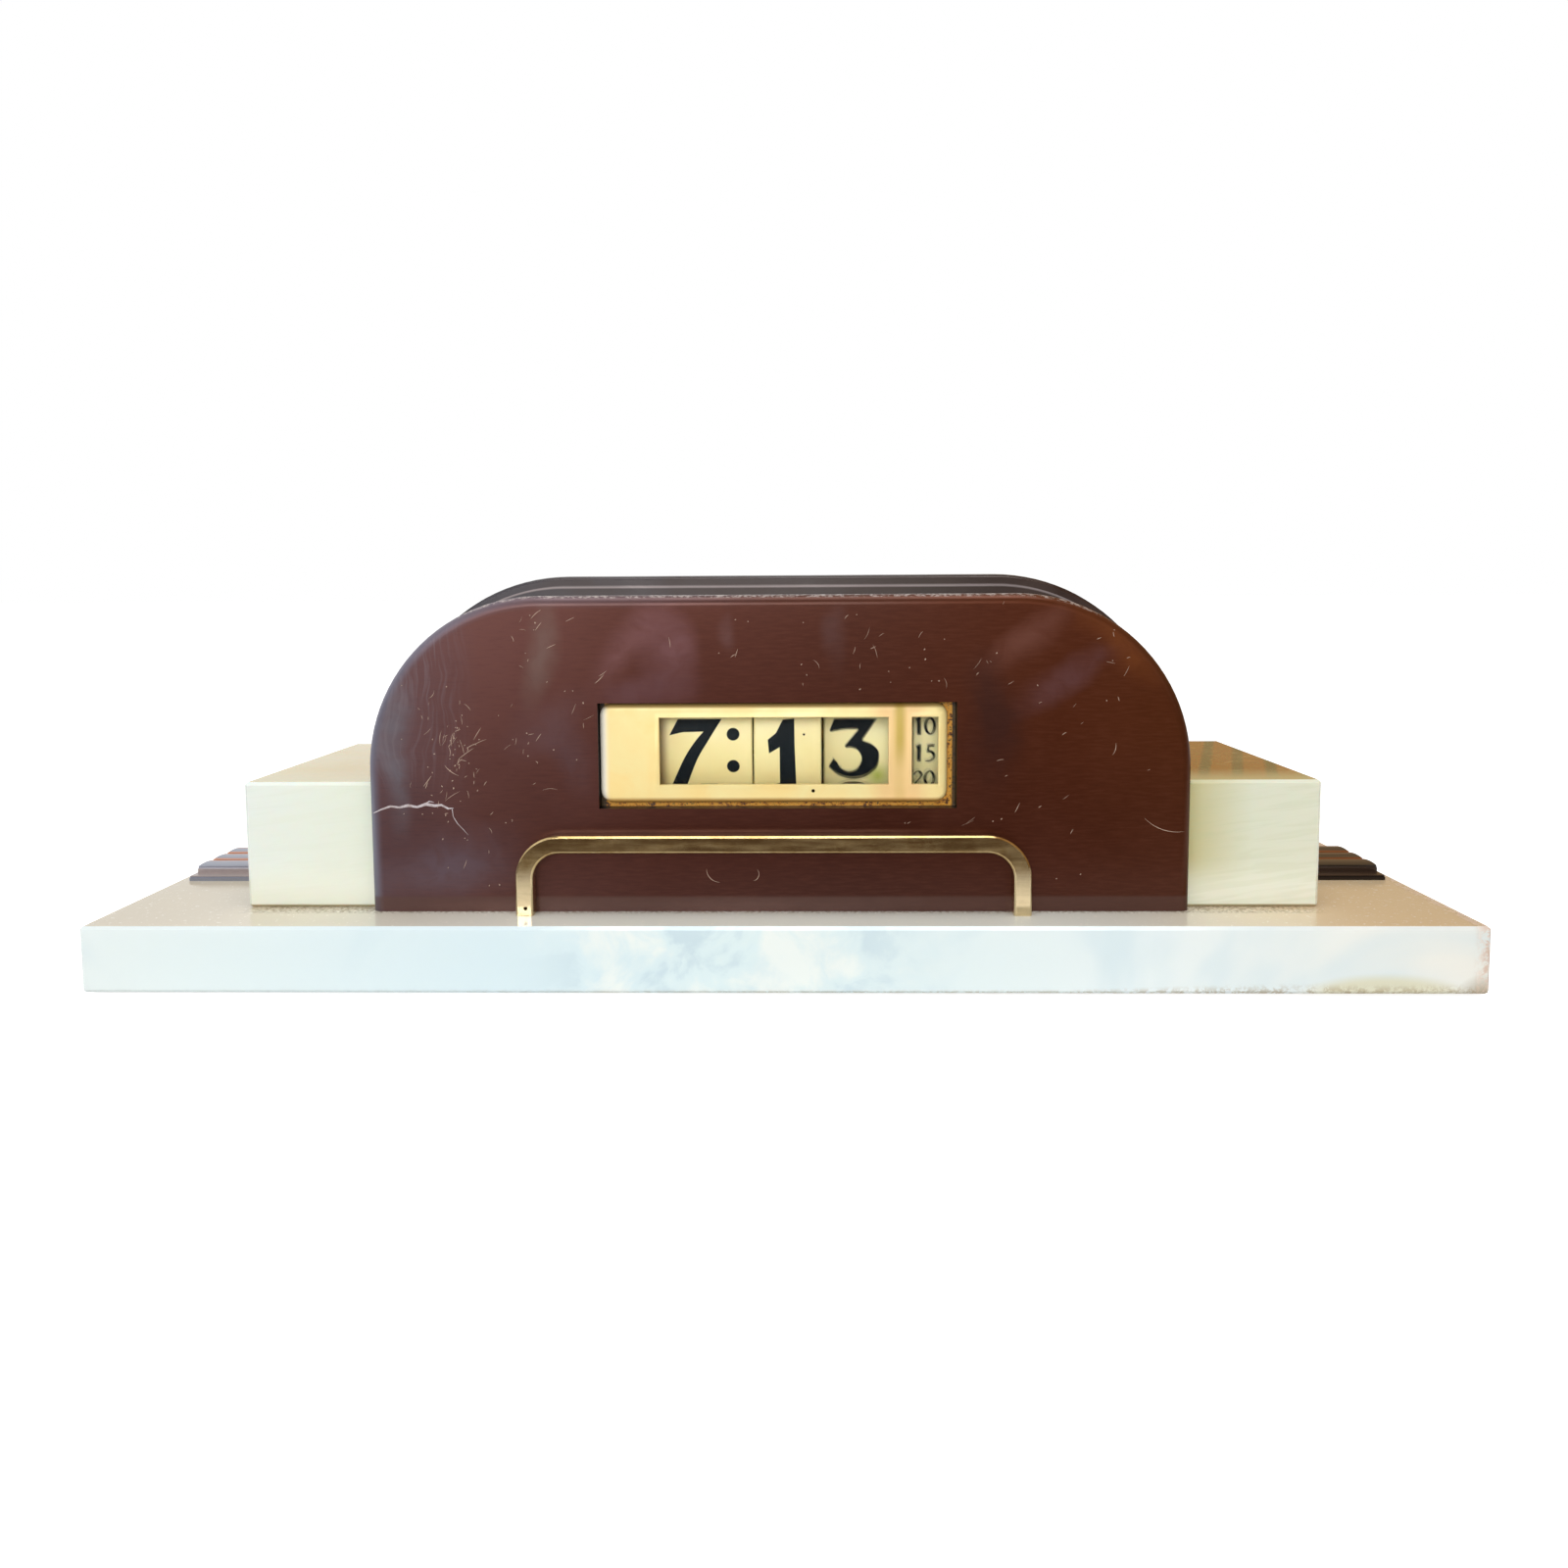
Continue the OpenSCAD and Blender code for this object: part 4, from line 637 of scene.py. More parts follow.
# %% Satin brass for the works
satin, tree, shader, spot = finish("satin_cut_brass", Metallic=1.0)
stain = add(tree, "TexNoise", {"Vector": spot, "Scale": every(6), "Detail": 6, "Roughness": 0.65, "Distortion": 0.4})
tone = add(tree, "ValToRGB", {"Fac": stain}, stops=((0.45, "#d9b163"), (0.8, "#a57e3d")))
lathe = lines_on(tree, spot, (3, 1, 1), 0.6, 3)
coat_of(tree, shader, tone, (lathe, 0.25, 0.42), lathe, 0.003)
give(satin, "rail_nuts", "front_nuts", "rear_screws", "pillars", "pillar_nuts", "lay_wheel", "hour_carry_arm",
     "hour_carry_pinion", "tens_carry_arm", "tens_carry_pinion", "motor_screws", "terminal_screws")

# %% [markdown]
# ## Plated steel and the motor's can
#
# Bolts, plates and arbors are rolled or drawn steel with nickel plating. Rolling leaves
# fine lines one way, and old nickel yellows in patches. The motor's can is spun
# aluminium, paler and softer in its shine. Both are metals, so their index stays at
# its default, and one function serves both with other tones.

# %% Nickel and aluminium
def rolled_metal(name, tone, stain, dull):
    """A metal with rolling lines along Y and stained patches."""
    made, tree, shader, spot = finish(name, Metallic=1.0)
    patch = add(tree, "TexNoise", {"Vector": spot, "Scale": every(12), "Detail": 5, "Distortion": 0.5})
    colour = add(tree, "ValToRGB", {"Fac": patch}, stops=((0.45, tone), (0.85, stain)))
    rolled = lines_on(tree, spot, (1, 0.06, 1), 0.7, 3)
    coat_of(tree, shader, colour, (rolled, dull, dull + 0.15), rolled, 0.003)
    return made


give(rolled_metal("nickel_plated_steel", "#c9c7c0", "#a39a86", 0.22), "wing_bolts", "case_bolts", "foot_plate",
     "foot_bolts", "left_plate", "middle_plate", "right_plate", "main_arbor", "seconds_arbor", "lay_arbor",
     "set_arbor", "motor_core")
give(rolled_metal("spun_aluminium", "#d8d9d8", "#b9b7b0", 0.3), "motor_can")

# %% [markdown]
# ## Stove enamel
#
# The rear cover is thin steel sheet, stove enamelled brown. The enamel pulls into
# a faint orange-peel skin as it bakes, so a fine noise lifts it, and small chips along
# the way show a paler primer.

# %% Rear cover
enamel, tree, shader, spot = finish("stove_enamelled_steel", IOR=1.5, Coat_Weight=0.4, Coat_Roughness=0.18)
fade = add(tree, "TexNoise", {"Vector": spot, "Scale": every(30), "Detail": 4, "Distortion": 0.6})
tone = add(tree, "ValToRGB", {"Fac": fade}, stops=((0.35, "#3d2b22"), (0.7, "#4d382c")))
chips = add(tree, "TexNoise", {"Vector": spot, "Scale": every(1.4), "Detail": 4, "Roughness": 0.7})
tone = stained(tree, tone, "#8a7a68", (chips, 0.68, 0.74, 0.6))
peel = add(tree, "TexNoise", {"Vector": spot, "Scale": every(1), "Detail": 2})
coat_of(tree, shader, tone, (fade, 0.34, 0.5), peel, 0.018)
give(enamel, "rear_cover")

# %% [markdown]
# ## Ivory-coloured drums
#
# The drums are celluloid strip over a moulded hub. Celluloid yellows as it ages, more
# where light reached it. A weak subsurface share gives it the glow of thin plastic, and
# faint roller lines run round the drum. The far left end is darkened brown as painted
# shade, the deeper minutes and seconds drums are painted paler to make up for their shade,
# and a greenish painted reflection sits low on the minutes drum.

# %% Celluloid
ivory, tree, shader, spot = finish("aged_ivory_celluloid", IOR=1.5, Subsurface_Weight=0.1, Subsurface_Scale=mm(1))
x, y, z = add(tree, "SeparateXYZ", {0: spot}).node.outputs
age = add(tree, "TexNoise", {"Vector": spot, "Scale": every(20), "Detail": 4, "Distortion": 0.5})
tone = add(tree, "ValToRGB", {"Fac": age}, stops=((0.35, "#f0e4a8"), (0.7, "#e8d896")))
# painted shade at the hour drum's far left end
tone = stained(tree, tone, "#96795a", (x, mm(-26.2), mm(-29.4), 0.75))
# the minutes and seconds drums are painted paler, as painted light against the shade they sit in
painted_lift_on_deep_drums = within(tree, (x, mm(10.5), mm(34)))
painted_lift_on_deep_drums = add(tree, "Math", {0: painted_lift_on_deep_drums, 1: 0.35}, operation="ADD", use_clamp=True)
inner = add(tree, "MapRange", {"Value": x, "From Min": mm(10.4), "From Max": mm(10.8)})
tone = stained(tree, tone, "#fff6ba", painted_lift_on_deep_drums, inner)
# a greenish painted reflection low on the minutes drum
stain = ball_at(tree, spot, (25, -24, 48.5), (4, 9, 4))
tone = stained(tree, tone, "#bcc95c", stain)
flecks = add(tree, "TexNoise", {"Vector": spot, "Scale": every(0.9), "Detail": 2})
tone = stained(tree, tone, "#6b5a3a", (flecks, 0.76, 0.80, 0.7))
rolled = lines_on(tree, spot, (1, 0.1, 0.1), 0.8, 3)
coat_of(tree, shader, tone, (age, 0.32, 0.45), rolled, 0.003)
give(ivory, "hour_drum", "tens_drum", "minutes_drum", "seconds_drum")

# %% [markdown]
# ## Window pane
#
# The pane is thin sheet glass, index 1.5, and mirrors little from in front. Lamps must
# reach the drums behind it, so the rays that only carry shadow pass straight through.
# Most of the rest does too, or the room's white would lie as a veil over the ink.

# %% Glass
pane, tree, shader, spot = finish("thin_sheet_glass", IOR=1.5, Transmission_Weight=1.0, Specular_IOR_Level=0.12)
haze = add(tree, "TexNoise", {"Vector": spot, "Scale": every(14), "Detail": 4, "Distortion": 0.4})
clear = add(tree, "ValToRGB", {"Fac": haze}, stops=((0.3, "#ffffff"), (0.8, "#f6fbf4")))
coat_of(tree, shader, clear, within(tree, (haze, 0.45, 0.8, 0.03)))
shadow = add(tree, "LightPath", out="Is Shadow Ray")
through = add(tree, "Math", {0: shadow, 1: 0.8}, operation="MAXIMUM")
both = add(tree, "MixShader", {0: through, 1: shader.outputs[0], 2: add(tree, "BsdfTransparent")})
tree.links.new(both, tree.nodes["Material Output"].inputs["Surface"])
give(pane, "window_pane")

# %% [markdown]
# ## Felt, tape, bakelite and rubber
#
# Felt is pressed wool: matt, with a soft edge glow from standing fibres, which sheen
# gives. The coil is bound in varnished cloth tape, so a weave shows under a gloss.
# Bakelite is a dark moulded resin with flow marks, and rubber greys with age: these
# two are moulded alike, so one function makes both.

# %% Felt
felt, tree, shader, spot = finish("pressed_wool_felt", Sheen_Weight=0.4, Sheen_Roughness=0.5, IOR=1.5)
fibres = add(tree, "TexNoise", {"Vector": spot, "Scale": every(0.8), "Detail": 6, "Roughness": 0.75, "Distortion": 0.8})
tone = add(tree, "ValToRGB", {"Fac": fibres}, stops=((0.3, "#22342a"), (0.7, "#3d5645")))
coat_of(tree, shader, tone, (fibres, 0.85, 1.0, 0, 1), fibres, 0.12)
give(felt, "felt_sheet")

# %% Cloth tape
tape, tree, shader, spot = finish("varnished_cloth_tape", IOR=1.5, Coat_Weight=0.5, Coat_Roughness=0.15)
weave = add(tree, "TexWave", {"Vector": spot, "Scale": every(3.2), "Distortion": 0.4}, bands_direction="Y", out="Fac")
tone = add(tree, "ValToRGB", {"Fac": weave}, stops=((0.0, "#7c3018"), (1.0, "#a04a26")))
patchy = add(tree, "TexNoise", {"Vector": spot, "Scale": every(4)})
coat_of(tree, shader, tone, (patchy, 0.4, 0.6, 0, 1), weave, 0.09)
give(tape, "motor_coil")

# %% Moulded pieces
def moulded(name, tone, bloom, dull, skin_mm):
    """A dark moulded plastic or rubber with flow marks and a fine skin."""
    made, tree, shader, spot = finish(name, IOR=1.55)
    flow = add(tree, "TexNoise", {"Vector": spot, "Scale": every(5), "Detail": 5, "Distortion": 1.2})
    colour = add(tree, "ValToRGB", {"Fac": flow}, stops=((0.45, tone), (0.9, bloom)))
    skin = add(tree, "TexNoise", {"Vector": spot, "Scale": every(0.7), "Detail": 3})
    coat_of(tree, shader, colour, (flow, dull, dull + 0.18), skin, skin_mm)
    return made


give(moulded("dark_bakelite", "#221b19", "#33271f", 0.22, 0.008), "set_wheel", "terminal_block")
give(moulded("aged_black_rubber", "#1c1c1b", "#3a3937", 0.62, 0.024), "cord_inlet")
slots = {m["slot"] for m in frame["record"]["materials"]}
print("without a finish:", [n for n, node in nodes.items() if node.data.materials[0].name in slots])

# %% [markdown]
# ## Printed figures
#
# The figures are the clock's face. Each is drawn flat, in millimetres, as closed
# outlines: plain points are on a curve, and points marked with a 1 are corners. The
# heavy set is for hours and minutes, the light set for the small seconds drum. Blender
# could set type, but a font isn't part of the scene, and the old printed shapes have
# slanted ends that are easy to give as listed points.

# %% Outlines of the figures
def oval(x, y, across, up):
    """A closed ring of 24 curve points."""
    return [(x + across * math.cos(math.tau * i / 24), y + up * math.sin(math.tau * i / 24)) for i in range(24)]


def corners(*points):
    """A ring of corners only."""
    return [(x, y, 1) for x, y in points]


HEAVY = {
    "0": [oval(6.3, 7.8, 6.3, 7.8), oval(6.3, 7.8, 2.4, 5.5)],
    "1": [corners((3.69, 15.28), (6.53, 15.52), (6.6, 9.3), (6.96, -0.6), (2.94, -0.6), (2.92, 8.68), (0.29, 7.2),
                  (0, 10.5), (2.0, 12.05))],
    "2": [[(0.4, 10.9, 1), (1.5, 13.6), (3.7, 15.2), (6.4, 15.6), (9.3, 14.9), (11.3, 12.9), (11.5, 10.3),
           (10.4, 7.8), (8.4, 5.4), (6.2, 2.9, 1), (12.4, 2.9, 1), (12.4, 0, 1), (0.1, 0, 1), (0.1, 0.5, 1),
           (4.4, 5.4), (6.6, 8.2), (7.5, 10.4), (7.2, 12.1), (6.0, 12.8), (4.8, 12.2), (4.2, 10.9, 1)]],
    "3": [[(1.5, 15.56, 1), (12.2, 15.56, 1), (8.44, 10.09, 1), (10.8, 9.15), (12.4, 7.6), (12.69, 6.04),
           (12.4, 3.9), (11.58, 2.43), (9.08, 0.54), (5.94, 0), (2.65, 1.0), (0, 3.36, 1), (1.25, 5.55, 1),
           (2.11, 4.6), (3.14, 3.04), (5.0, 2.11), (7.19, 2.9), (8.37, 5.4), (7.5, 7.44), (5.94, 8.22),
           (4.54, 8.22, 1), (4.0, 8.69, 1), (7.58, 12.91, 1), (4.07, 12.83), (0.64, 12.25, 1), (0.25, 12.6, 1)]],
    "4": [corners((7.2, 0), (11, 0), (11, 2.9), (12.8, 2.9), (12.8, 5.5), (11, 5.5), (11, 15.6), (7.6, 15.6),
                  (0, 5.2), (0, 2.9), (7.2, 2.9)), corners((7.2, 5.5), (7.2, 10.9), (3.4, 5.5))],
    "5": [[(2.4, 15.6, 1), (11.6, 15.6, 1), (11.6, 12.7, 1), (5.2, 12.7, 1), (4.9, 10.0, 1), (6.6, 10.2),
           (9.6, 9.5), (11.8, 7.6), (12.5, 5.0), (11.4, 2.2), (9.0, 0.5), (5.8, 0), (2.6, 0.6), (0.2, 2.7, 1),
           (1.6, 4.9, 1), (3.2, 3.2), (5.3, 2.3), (7.3, 2.9), (8.3, 4.9), (7.6, 6.9), (5.8, 7.7), (3.6, 7.5),
           (1.6, 8.0, 1)]],
    "6": [[(11.3, 15.6, 1), (7.2, 15.6, 1), (3.6, 12.0), (1.0, 8.6), (0, 5.2), (1.1, 2.1), (3.4, 0.5), (6.2, 0),
           (9.1, 0.5), (11.4, 2.3), (12.4, 5.2), (11.4, 8.0), (9.2, 9.6), (7.2, 10.0, 1)],
          oval(6.2, 5.0, 2.2, 2.8)],
    "7": [[(1.95, 15.64, 1), (12.17, 15.64, 1), (9.04, 10.3), (6.5, 5.76), (4.0, -0.8, 1), (0.5, -0.8, 1),
           (3.3, 5.7), (5.9, 10.0), (7.95, 12.56, 1), (3.13, 12.44, 1), (0, 11.67, 1)]],
    "8": [[(6.2, 15.6), (9.3, 14.8), (11.0, 12.6), (11.0, 10.4), (9.4, 8.7, 1), (11.6, 7.2), (12.5, 4.9),
           (11.5, 2.1), (9.2, 0.5), (6.3, 0), (3.4, 0.5), (1.0, 2.1), (0.1, 4.9), (1.0, 7.2), (3.1, 8.7, 1),
           (1.4, 10.4), (1.4, 12.6), (3.1, 14.8)], oval(6.2, 11.9, 1.7, 1.9), oval(6.3, 4.8, 2.2, 2.6)],
}
HEAVY["9"] = [[(12.4 - p[0], 15.6 - p[1], *p[2:]) for p in ring] for ring in HEAVY["6"]]
LIGHT = {
    "0": [oval(1.45, 2.1, 1.5, 2.1), oval(1.45, 2.1, 0.76, 1.6)],
    "1": [corners((0.22, 0), (1.2, 0), (1.25, 4.2), (0.75, 4.2), (-0.05, 3.75), (0.05, 3.35), (0.22, 3.4))],
    "2": [[(0.1, 3.1, 1), (0.5, 3.85), (1.35, 4.2), (2.2, 3.85), (2.5, 3.1), (2.1, 2.2), (1.5, 1.4),
           (0.95, 0.65, 1), (2.75, 0.65, 1), (2.75, 0, 1), (0, 0, 1), (0, 0.12, 1), (1.1, 1.6), (1.7, 2.5),
           (1.8, 3.15), (1.6, 3.6), (1.2, 3.72), (0.8, 3.5), (0.6, 3.0, 1)]],
    "3": [[(0.3, 4.15, 1), (2.6, 4.15, 1), (1.5, 2.6, 1), (2.3, 2.25), (2.7, 1.4), (2.3, 0.5), (1.3, 0),
           (0, 0.4, 1), (0.2, 0.85, 1), (1.2, 0.5), (1.8, 0.8), (2.0, 1.4), (1.7, 2.0), (1.0, 2.2, 1),
           (0.8, 2.4, 1), (1.6, 3.6, 1), (0.3, 3.6, 1)]],
    "4": [corners((1.7, 0), (2.35, 0), (2.35, 0.9), (2.8, 0.9), (2.8, 1.4), (2.35, 1.4), (2.35, 4.2), (1.8, 4.2),
                  (0, 1.3), (0, 0.9), (1.7, 0.9)), corners((1.7, 1.4), (1.7, 3.0), (0.7, 1.4))],
    "5": [[(0.7, 4.1, 1), (2.4, 4.25, 1), (2.3, 3.6, 1), (1.15, 3.5, 1), (0.95, 2.75, 1), (1.5, 2.75),
           (2.3, 2.3), (2.65, 1.5), (2.2, 0.5), (1.2, 0), (0.1, 0.02, 1), (0.05, 0.3, 1), (1.2, 0.5),
           (1.85, 1.0), (1.9, 1.6), (1.55, 2.05), (0.95, 2.2), (0.35, 2.15, 1)]],
}
print(len(HEAVY), "heavy and", len(LIGHT), "light figures drawn")

# %% [markdown]
# Between its corners a figure's edge is one flowing line. A Catmull-Rom curve goes
# through all of its points, so what is drawn is what is printed.

# %% Smooth an outline
def flowing(ring):
    """The ring with four extra steps between neighbours wherever it curves."""
    count, out = len(ring), []
    for i in range(count):
        before, a, b, after = (ring[(i + k) % count] for k in (-1, 0, 1, 2))
        sharp_a, sharp_b = len(a) == 3, len(b) == 3
        if sharp_a and sharp_b:
            out.append(a[:2])
            continue
        before = a if sharp_a else before
        after = b if sharp_b else after
        for step in range(5):
            t = step / 5
            out.append(tuple(
                0.5 * (2 * a[k] + (b[k] - before[k]) * t + (2 * before[k] - 5 * a[k] + 4 * b[k] - after[k]) * t * t
                       + (3 * a[k] - before[k] - 3 * b[k] + after[k]) * t ** 3) for k in (0, 1)))
    return out


print("the heavy 2 has", len(flowing(HEAVY["2"][0])), "points")

# %% [markdown]
# A flat figure is filled by a 2-D curve, which handles the holes in 0, 4, 6 and 8. It is
# then cut in rows every millimetre of its height, so that it can bend, and wrapped round
# its drum, a hair above the surface, with a thickness of its own like a layer of ink.

# %% Wrap figures round a drum
AXIS = (0.6217, 56.4)  # the arbor's place in Y and Z, in millimetres
INK_BACK, INK_FRONT = 0.02, 0.05  # how far the ink's two sides stand above the drum, in millimetres


def flat_figure(rings, squeeze=1.0):
    """A mesh of the filled outlines, in millimetres, cut in rows."""
    curve = bpy.data.curves.new("outline", "CURVE")
    curve.dimensions, curve.fill_mode = "2D", "BOTH"
    for ring in rings:
        points = flowing(ring)
        line = curve.splines.new("POLY")
        line.points.add(len(points) - 1)
        for point, (x, y) in zip(line.points, points):
            point.co = (x * squeeze, y, 0, 1)
        line.use_cyclic_u = True
    holder = bpy.data.objects.new("outline", curve)
    mesh = bpy.data.meshes.new_from_object(holder)
    bpy.data.objects.remove(holder)
    bpy.data.curves.remove(curve)
    shape = bmesh.new()
    shape.from_mesh(mesh)
    bpy.data.meshes.remove(mesh)
    top = max(v.co.y for v in shape.verts)
    rows = int(top) if top > 6 else int(top * 2)
    for row in range(1, rows + 1):
        bmesh.ops.bisect_plane(shape, geom=shape.verts[:] + shape.edges[:] + shape.faces[:],
                               plane_co=(0, row * top / (rows + 1), 0), plane_no=(0, 1, 0))
    return shape


def print_on(sheet, rings, left, turn, radius, height, lift=0.0, squeeze=1.0):
    """Adds one figure to a sheet of faces: left edge in X, turn round the arbor in radians."""
    shape = flat_figure(rings, squeeze)
    grown = bmesh.ops.extrude_face_region(shape, geom=shape.faces[:])["geom"]
    outer = {v for v in grown if isinstance(v, bmesh.types.BMVert)}
    for v in shape.verts:
        angle = turn + (v.co.y - height / 2 + lift) / radius
        out = radius + (INK_FRONT if v in outer else INK_BACK)
        v.co = mm(left + v.co.x, AXIS[0] - out * math.cos(angle), AXIS[1] + out * math.sin(angle))
    bmesh.ops.recalc_face_normals(shape, faces=shape.faces[:])
    part = bpy.data.meshes.new("part")
    shape.to_mesh(part)
    shape.free()
    sheet.from_mesh(part)
    bpy.data.meshes.remove(part)


def width_of(rings):
    """How wide a figure is, in millimetres."""
    return max(p[0] for ring in rings for p in ring)


def piece_from(name, shape, body, material):
    """Turns a bmesh into a named piece that rides on a body."""
    mesh = bpy.data.meshes.new(name)
    shape.to_mesh(mesh)
    shape.free()
    mesh.materials.append(material)
    made = placed(name, mesh)
    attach(made, body)
    print(name, "rides on", body, "with", len(mesh.polygons), "faces")
    return made


# %% [markdown]
# Printing ink dries blue-black with a soft sheen. On old strips it is a little thin in
# places, so a fine noise lets the ivory through.

# %% Ink
ink, tree, shader, spot = finish("blue_black_ink", IOR=1.5, Specular_IOR_Level=0.06)
thin = add(tree, "TexNoise", {"Vector": spot, "Scale": every(1.6), "Detail": 7, "Roughness": 0.72})
tone = add(tree, "ValToRGB", {"Fac": thin}, stops=((0.60, "#131b21"), (0.70, "#2c3438"), (0.78, "#8a886e")))
coat_of(tree, shader, tone, (thin, 0.42, 0.55), thin, 0.002)
print("ink has", len(tree.nodes), "nodes")

# %% [markdown]
# The large drums carry figures a pitch apart: twelve hours, 0 to 5 twice for the tens,
# and 0 to 9 for the minutes. The clock stands at 7:13 and 15 seconds. Turned forward,
# the fronts of these drums move down, so the next figure waits above. Hours from 10 to
# 12 are squeezed to fit.

# %% Hours
PITCH, TALL = 16.4, 15.6  # from one heavy figure to the next, and a figure's height, in millimetres
HOUR_R, UNITS_R, SECONDS_R = PITCH * 12 / math.tau, PITCH * 10 / math.tau, 26.0


def dot(radius):
    """A round dot with its left and lower edges at 0."""
    return [oval(radius, radius, radius, radius)]


hours = bmesh.new()
for hour in range(1, 13):
    turn = (hour - 7) * math.tau / 12
    if hour < 10:
        rings = HEAVY[str(hour)]
        print_on(hours, rings, -20.3 - width_of(rings) * 0.53, turn, HOUR_R, TALL, -0.6, squeeze=1.06)
    else:
        left = -29.0
        for sign in str(hour):
            print_on(hours, HEAVY[sign], left, turn, HOUR_R, TALL, -0.4, squeeze=0.78)
            left += width_of(HEAVY[sign]) * 0.78 + 0.7
    for lift in (3.5, -4.5):
        print_on(hours, dot(1.57), -12.57, turn, HOUR_R, 3.14, lift)
piece_from("hour_figures", hours, "hours", ink)

# %% Tens and minutes
tens = bmesh.new()
for place in range(12):
    rings = [[(p[0], p[1] * 1.03, *p[2:]) for p in ring] for ring in HEAVY[str(place % 6)]]
    left = 1.05 - width_of(rings) / 2
    print_on(tens, rings, left, (place - 1) * math.tau / 12, HOUR_R, 16.1, -0.65)
print_on(tens, dot(0.28), 6.2, 0.0, HOUR_R, 0.4, 3.3)
piece_from("tens_figures", tens, "tens", ink)

minutes = bmesh.new()
for figure in range(10):
    rings = HEAVY[str(figure)]
    left = 18.95 - width_of(rings) / 2
    print_on(minutes, rings, left, (figure - 3) * math.tau / 10, UNITS_R, TALL, -1.1)
piece_from("minute_figures", minutes, "minutes", ink)

# %% [markdown]
# The seconds drum turns the other way and once in two minutes, so it carries the twelve
# light numbers twice, and the next one waits below.

# %% Seconds
seconds = bmesh.new()
for place in range(24):
    for sign, middle in zip(f"{place % 12 * 5:02d}", (35.2, 38.1)):
        rings = [[(p[0], p[1] * 1.06, *p[2:]) for p in ring] for ring in LIGHT[sign]]
        left = middle - width_of(rings) / 2
        print_on(seconds, rings, left, -(place - 3) * math.tau / 24, SECONDS_R, 4.45, -2.05)
piece_from("second_figures", seconds, "seconds", ink)

# %% [markdown]
# ## Marks of use
#
# Lacquer records what happened to it. A pale crack runs in from the left edge, there are
# hairline scratches of all directions, and dust has settled in some of them. A crack
# follows chance, so it is drawn point by point; the scratches are many and alike, so
# a seeded random draws them, and every run gives the same ones.

# %% Ribbons for hairlines
def ribbon(sheet, points, wide, face_y):
    """Adds a narrow strip along points (x, z, share of width), just in front of face_y."""
    rims = []
    for i, (x, z, share) in enumerate(points):
        x0, z0 = points[max(i - 1, 0)][:2]
        x1, z1 = points[min(i + 1, len(points) - 1)][:2]
        run = math.hypot(x1 - x0, z1 - z0) or 1
        nx, nz = -(z1 - z0) / run * wide * share / 2, (x1 - x0) / run * wide * share / 2
        rims.append([sheet.verts.new(mm(x + s * nx, face_y, z + s * nz)) for s in (1, -1)]
                    + [sheet.verts.new(mm(x, face_y - 0.02, z))])
    for (a, b, c), (d, e, f) in zip(rims, rims[1:]):
        sheet.faces.new((a, c, f, d))
        sheet.faces.new((c, b, e, f))


def hairline(x, z, heading, size, bend, count):
    """A ribbon's points: a line of this size from (x, z) that bends at every step and thins out at both ends."""
    points = []
    for step in range(count):
        points.append((x, z, math.sin(math.pi * (step + 0.6) / (count + 0.2))))
        x += size / (count - 1) * math.cos(heading)
        z += size / (count - 1) * math.sin(heading)
        heading += bend
    return points


def dry_lacquer(name, tone, dull):
    """Lacquer that has lifted or broken, so that it is pale and rough."""
    made, tree, shader, spot = finish(name, IOR=1.5)
    flake = add(tree, "TexNoise", {"Vector": spot, "Scale": every(1.2), "Detail": 5, "Roughness": 0.7})
    colour = add(tree, "ValToRGB", {"Fac": flake}, stops=((0.35, tone), (0.8, "#8a6f66")))
    coat_of(tree, shader, colour, (flake, dull, 0.9), flake, 0.005)
    return made


FACE_Y = -36.61  # just in front of the plate, in millimetres
print("marks lie at Y", FACE_Y, "mm")

# %% Crack
crack = bmesh.new()
ribbon(crack, [(-98.8, 41.5, 0.3), (-96.9, 42.4, 0.6), (-94.6, 43.2, 0.9), (-92.4, 42.9, 0.8), (-90.2, 43.4, 1.2),
               (-88.0, 43.0, 0.9), (-85.8, 43.7, 1.3), (-83.6, 43.3, 1.1), (-82.0, 43.5, 0.9), (-80.4, 42.6, 0.8),
               (-79.0, 42.7, 0.1)], 0.6, FACE_Y)
ribbon(crack, [(-79.4, 42.5, 0.5), (-79.2, 40.6, 0.6), (-78.2, 38.9, 0.5), (-76.8, 37.4, 0.4), (-75.6, 36.0, 0.1)],
       0.32, FACE_Y)
ribbon(crack, [(-86.4, 43.6, 0.5), (-85.0, 44.4, 0.6), (-83.8, 44.2, 0.2)], 0.4, FACE_Y)
piece_from("lacquer_crack", crack, "clock", dry_lacquer("dry_white_lacquer", "#d3ccd2", 0.6))

# %% [markdown]
# Scratches gather where hands and cloths pass, so most of them fall in a few groups, and
# the rest lie anywhere on the plate. Many are no more than a fleck of dust.

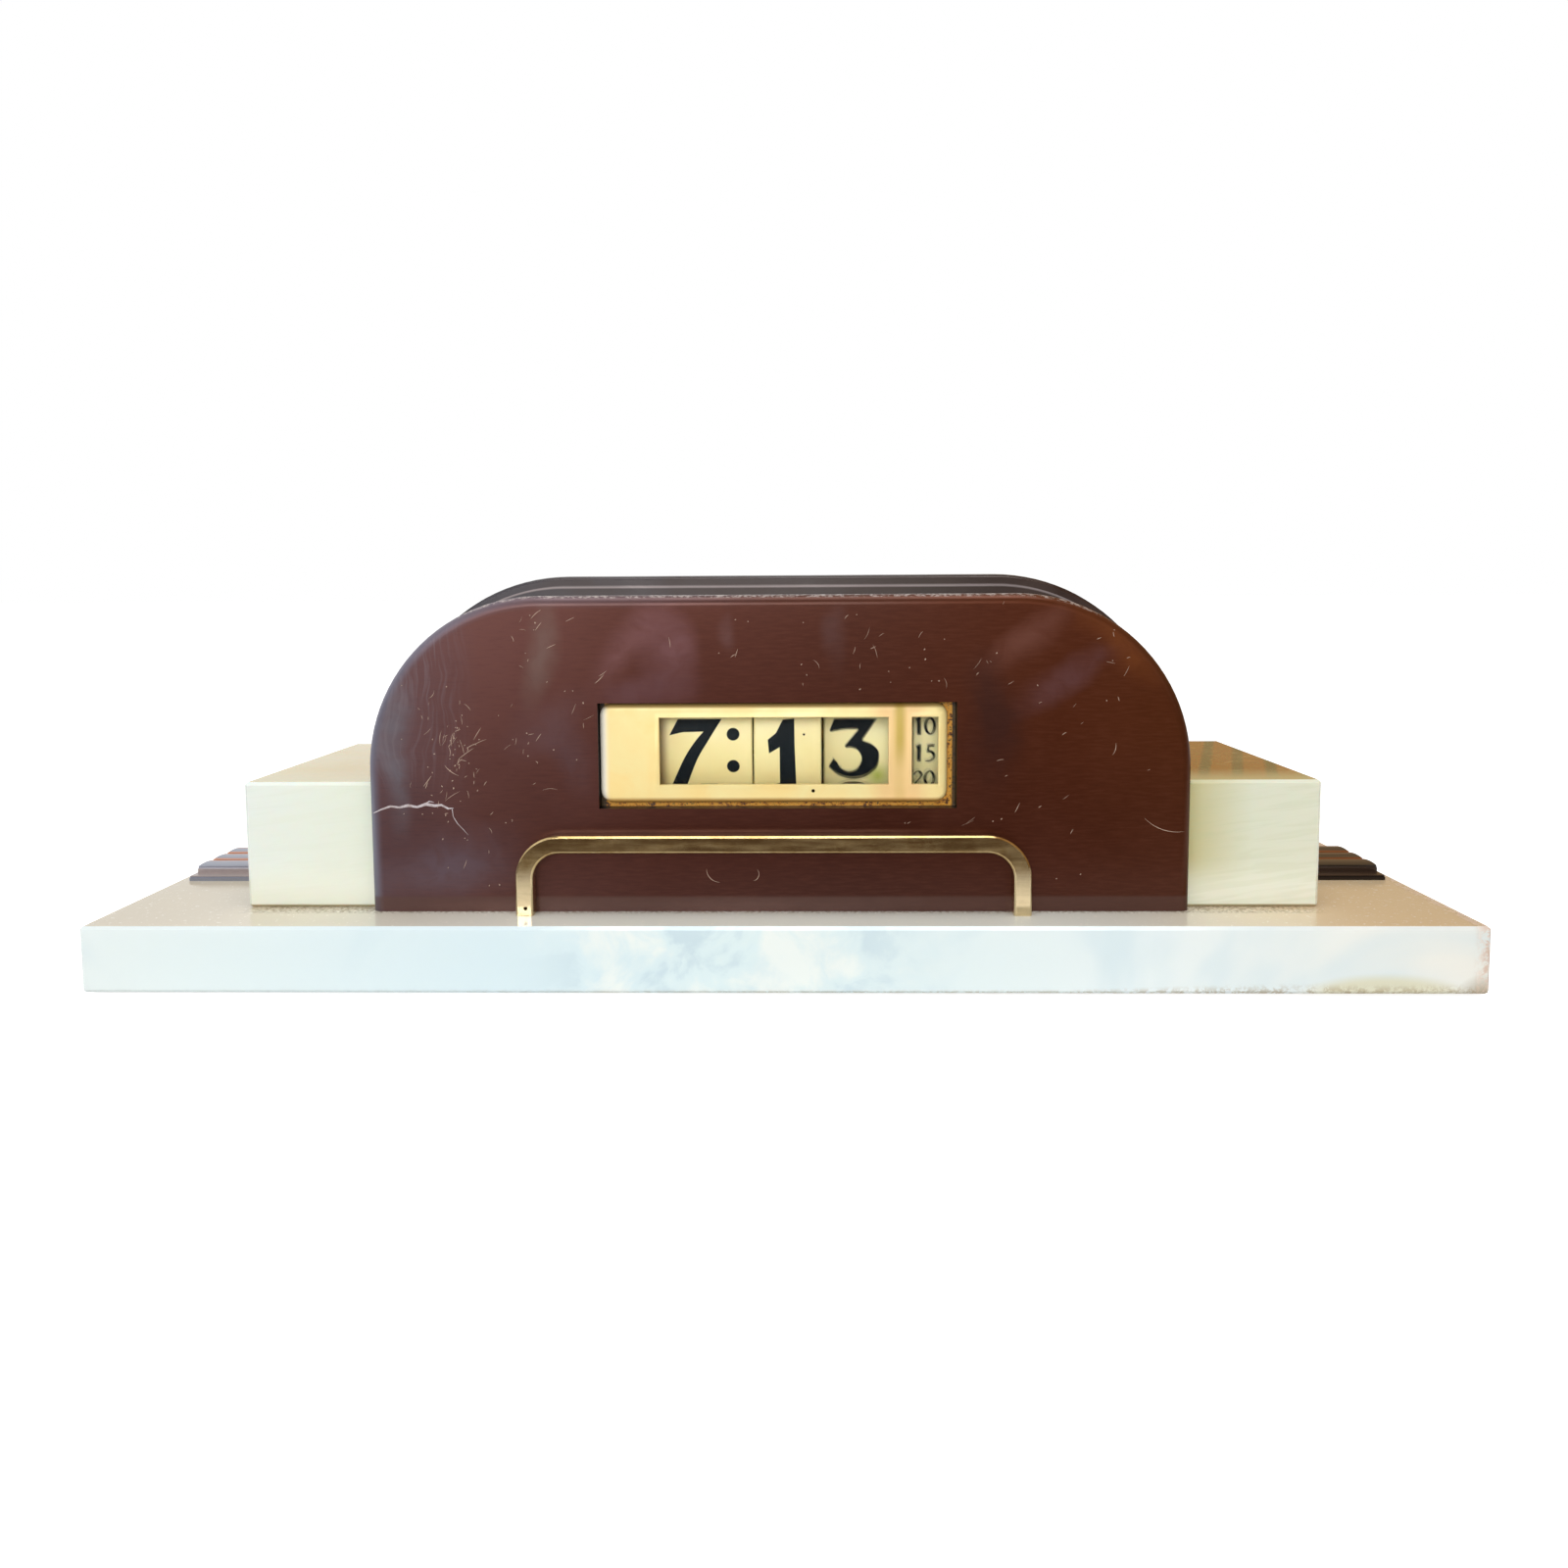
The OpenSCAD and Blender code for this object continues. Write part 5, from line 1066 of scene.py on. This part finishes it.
# %% Scratches
chance = random.Random(7)
GROUPS = [  # X and Z of the middle, spread in X and Z, count
    (-78, 56, 3, 6, 60), (-58, 86, 4, 4, 12), (-64, 58, 5, 9, 16), (-46, 66, 4, 7, 14), (-88, 66, 4, 10, 12),
    (-84, 44, 4, 4, 12), (-74, 38, 5, 6, 12), (-62, 26, 4, 4, 8), (46, 33, 7, 4, 10), (78, 68, 12, 12, 18),
    (34, 76, 12, 5, 18), (-4, 78, 22, 7, 22), (64, 40, 12, 12, 18), (0, 52, 60, 22, 70),
]
scratches = bmesh.new()
drawn = 0
for mid_x, mid_z, wide, tall, count in GROUPS:
    for _ in range(count):
        x, z = chance.gauss(mid_x, wide), chance.gauss(mid_z, tall)
        fleck = chance.random() < 0.4
        size = chance.uniform(0.2, 0.5) if fleck else abs(chance.gauss(0, 1.6)) + 0.6
        heading, bend = chance.gauss(1.1, 0.6), chance.gauss(0, 0.09)
        # nothing is drawn outside the plate, in the window opening or behind the rail
        shoulder = math.hypot(max(abs(x) - ARCH_X, 0), max(z - ARCH_Z, 0)) > ARCH_R - 1.5 - size
        if shoulder or z < 18 or (-46 < x < 46 and 40 < z < 71) or (-66 < x < 64 and z < 38):
            continue
        points = hairline(x, z, heading, size, bend, 7)
        ribbon(scratches, points, chance.uniform(0.16, 0.3) if fleck else chance.uniform(0.06, 0.16), FACE_Y)
        drawn += 1
hairs = [(-17.4, 27.6, -1.5, 5.2, 0.20), (-5.0, 27.4, -1.0, 3.6, -0.26), (88.6, 39.9, -0.75, 10.5, 0.12)]
for hair in hairs:
    ribbon(scratches, hairline(*hair, 9), 0.14, FACE_Y)
print(drawn, "scratches and", len(hairs), "hairs")
piece_from("lacquer_scratches", scratches, "clock", dry_lacquer("scratched_lacquer", "#cbb09c", 0.5))

# %% [markdown]
# ## Two small pins
#
# A pin shows as a dark dot in the lower edge of the window frame, and another in the
# front of the rail's left foot. A turned profile makes each a low dome with a rim.

# %% Pins
def domed_pin(name, place_mm, radius, proud, material):
    """A dome that faces the viewer, spun from its profile."""
    shape = bmesh.new()
    profile = [(radius, 0.0), (radius, 0.3), (radius * 0.92, 0.55), (radius * 0.6, 0.85), (radius * 0.25, 0.98)]
    around = 20
    rings = [[shape.verts.new(mm(place_mm[0] + r * math.cos(math.tau * k / around),
                                 place_mm[1] - d * proud,
                                 place_mm[2] + r * math.sin(math.tau * k / around))) for k in range(around)]
             for r, d in profile]
    for inner, outer in zip(rings, rings[1:]):
        for k in range(around):
            shape.faces.new((inner[k], inner[(k + 1) % around], outer[(k + 1) % around], outer[k]))
    shape.faces.new(rings[-1])
    shape.faces.new(rings[0][::-1])
    bmesh.ops.recalc_face_normals(shape, faces=shape.faces[:])
    made = piece_from(name, shape, "clock", material)
    made.data.shade_smooth()
    return made


tarnish = rolled_metal("tarnished_pin", "#1a120a", "#3a2a16", 0.5)
domed_pin("frame_pin", (8.7, -35.6, 46.6), 0.42, 0.12, tarnish)
domed_pin("rail_pin", (-61.0, -40.8, 18.9), 0.45, 0.12, tarnish)
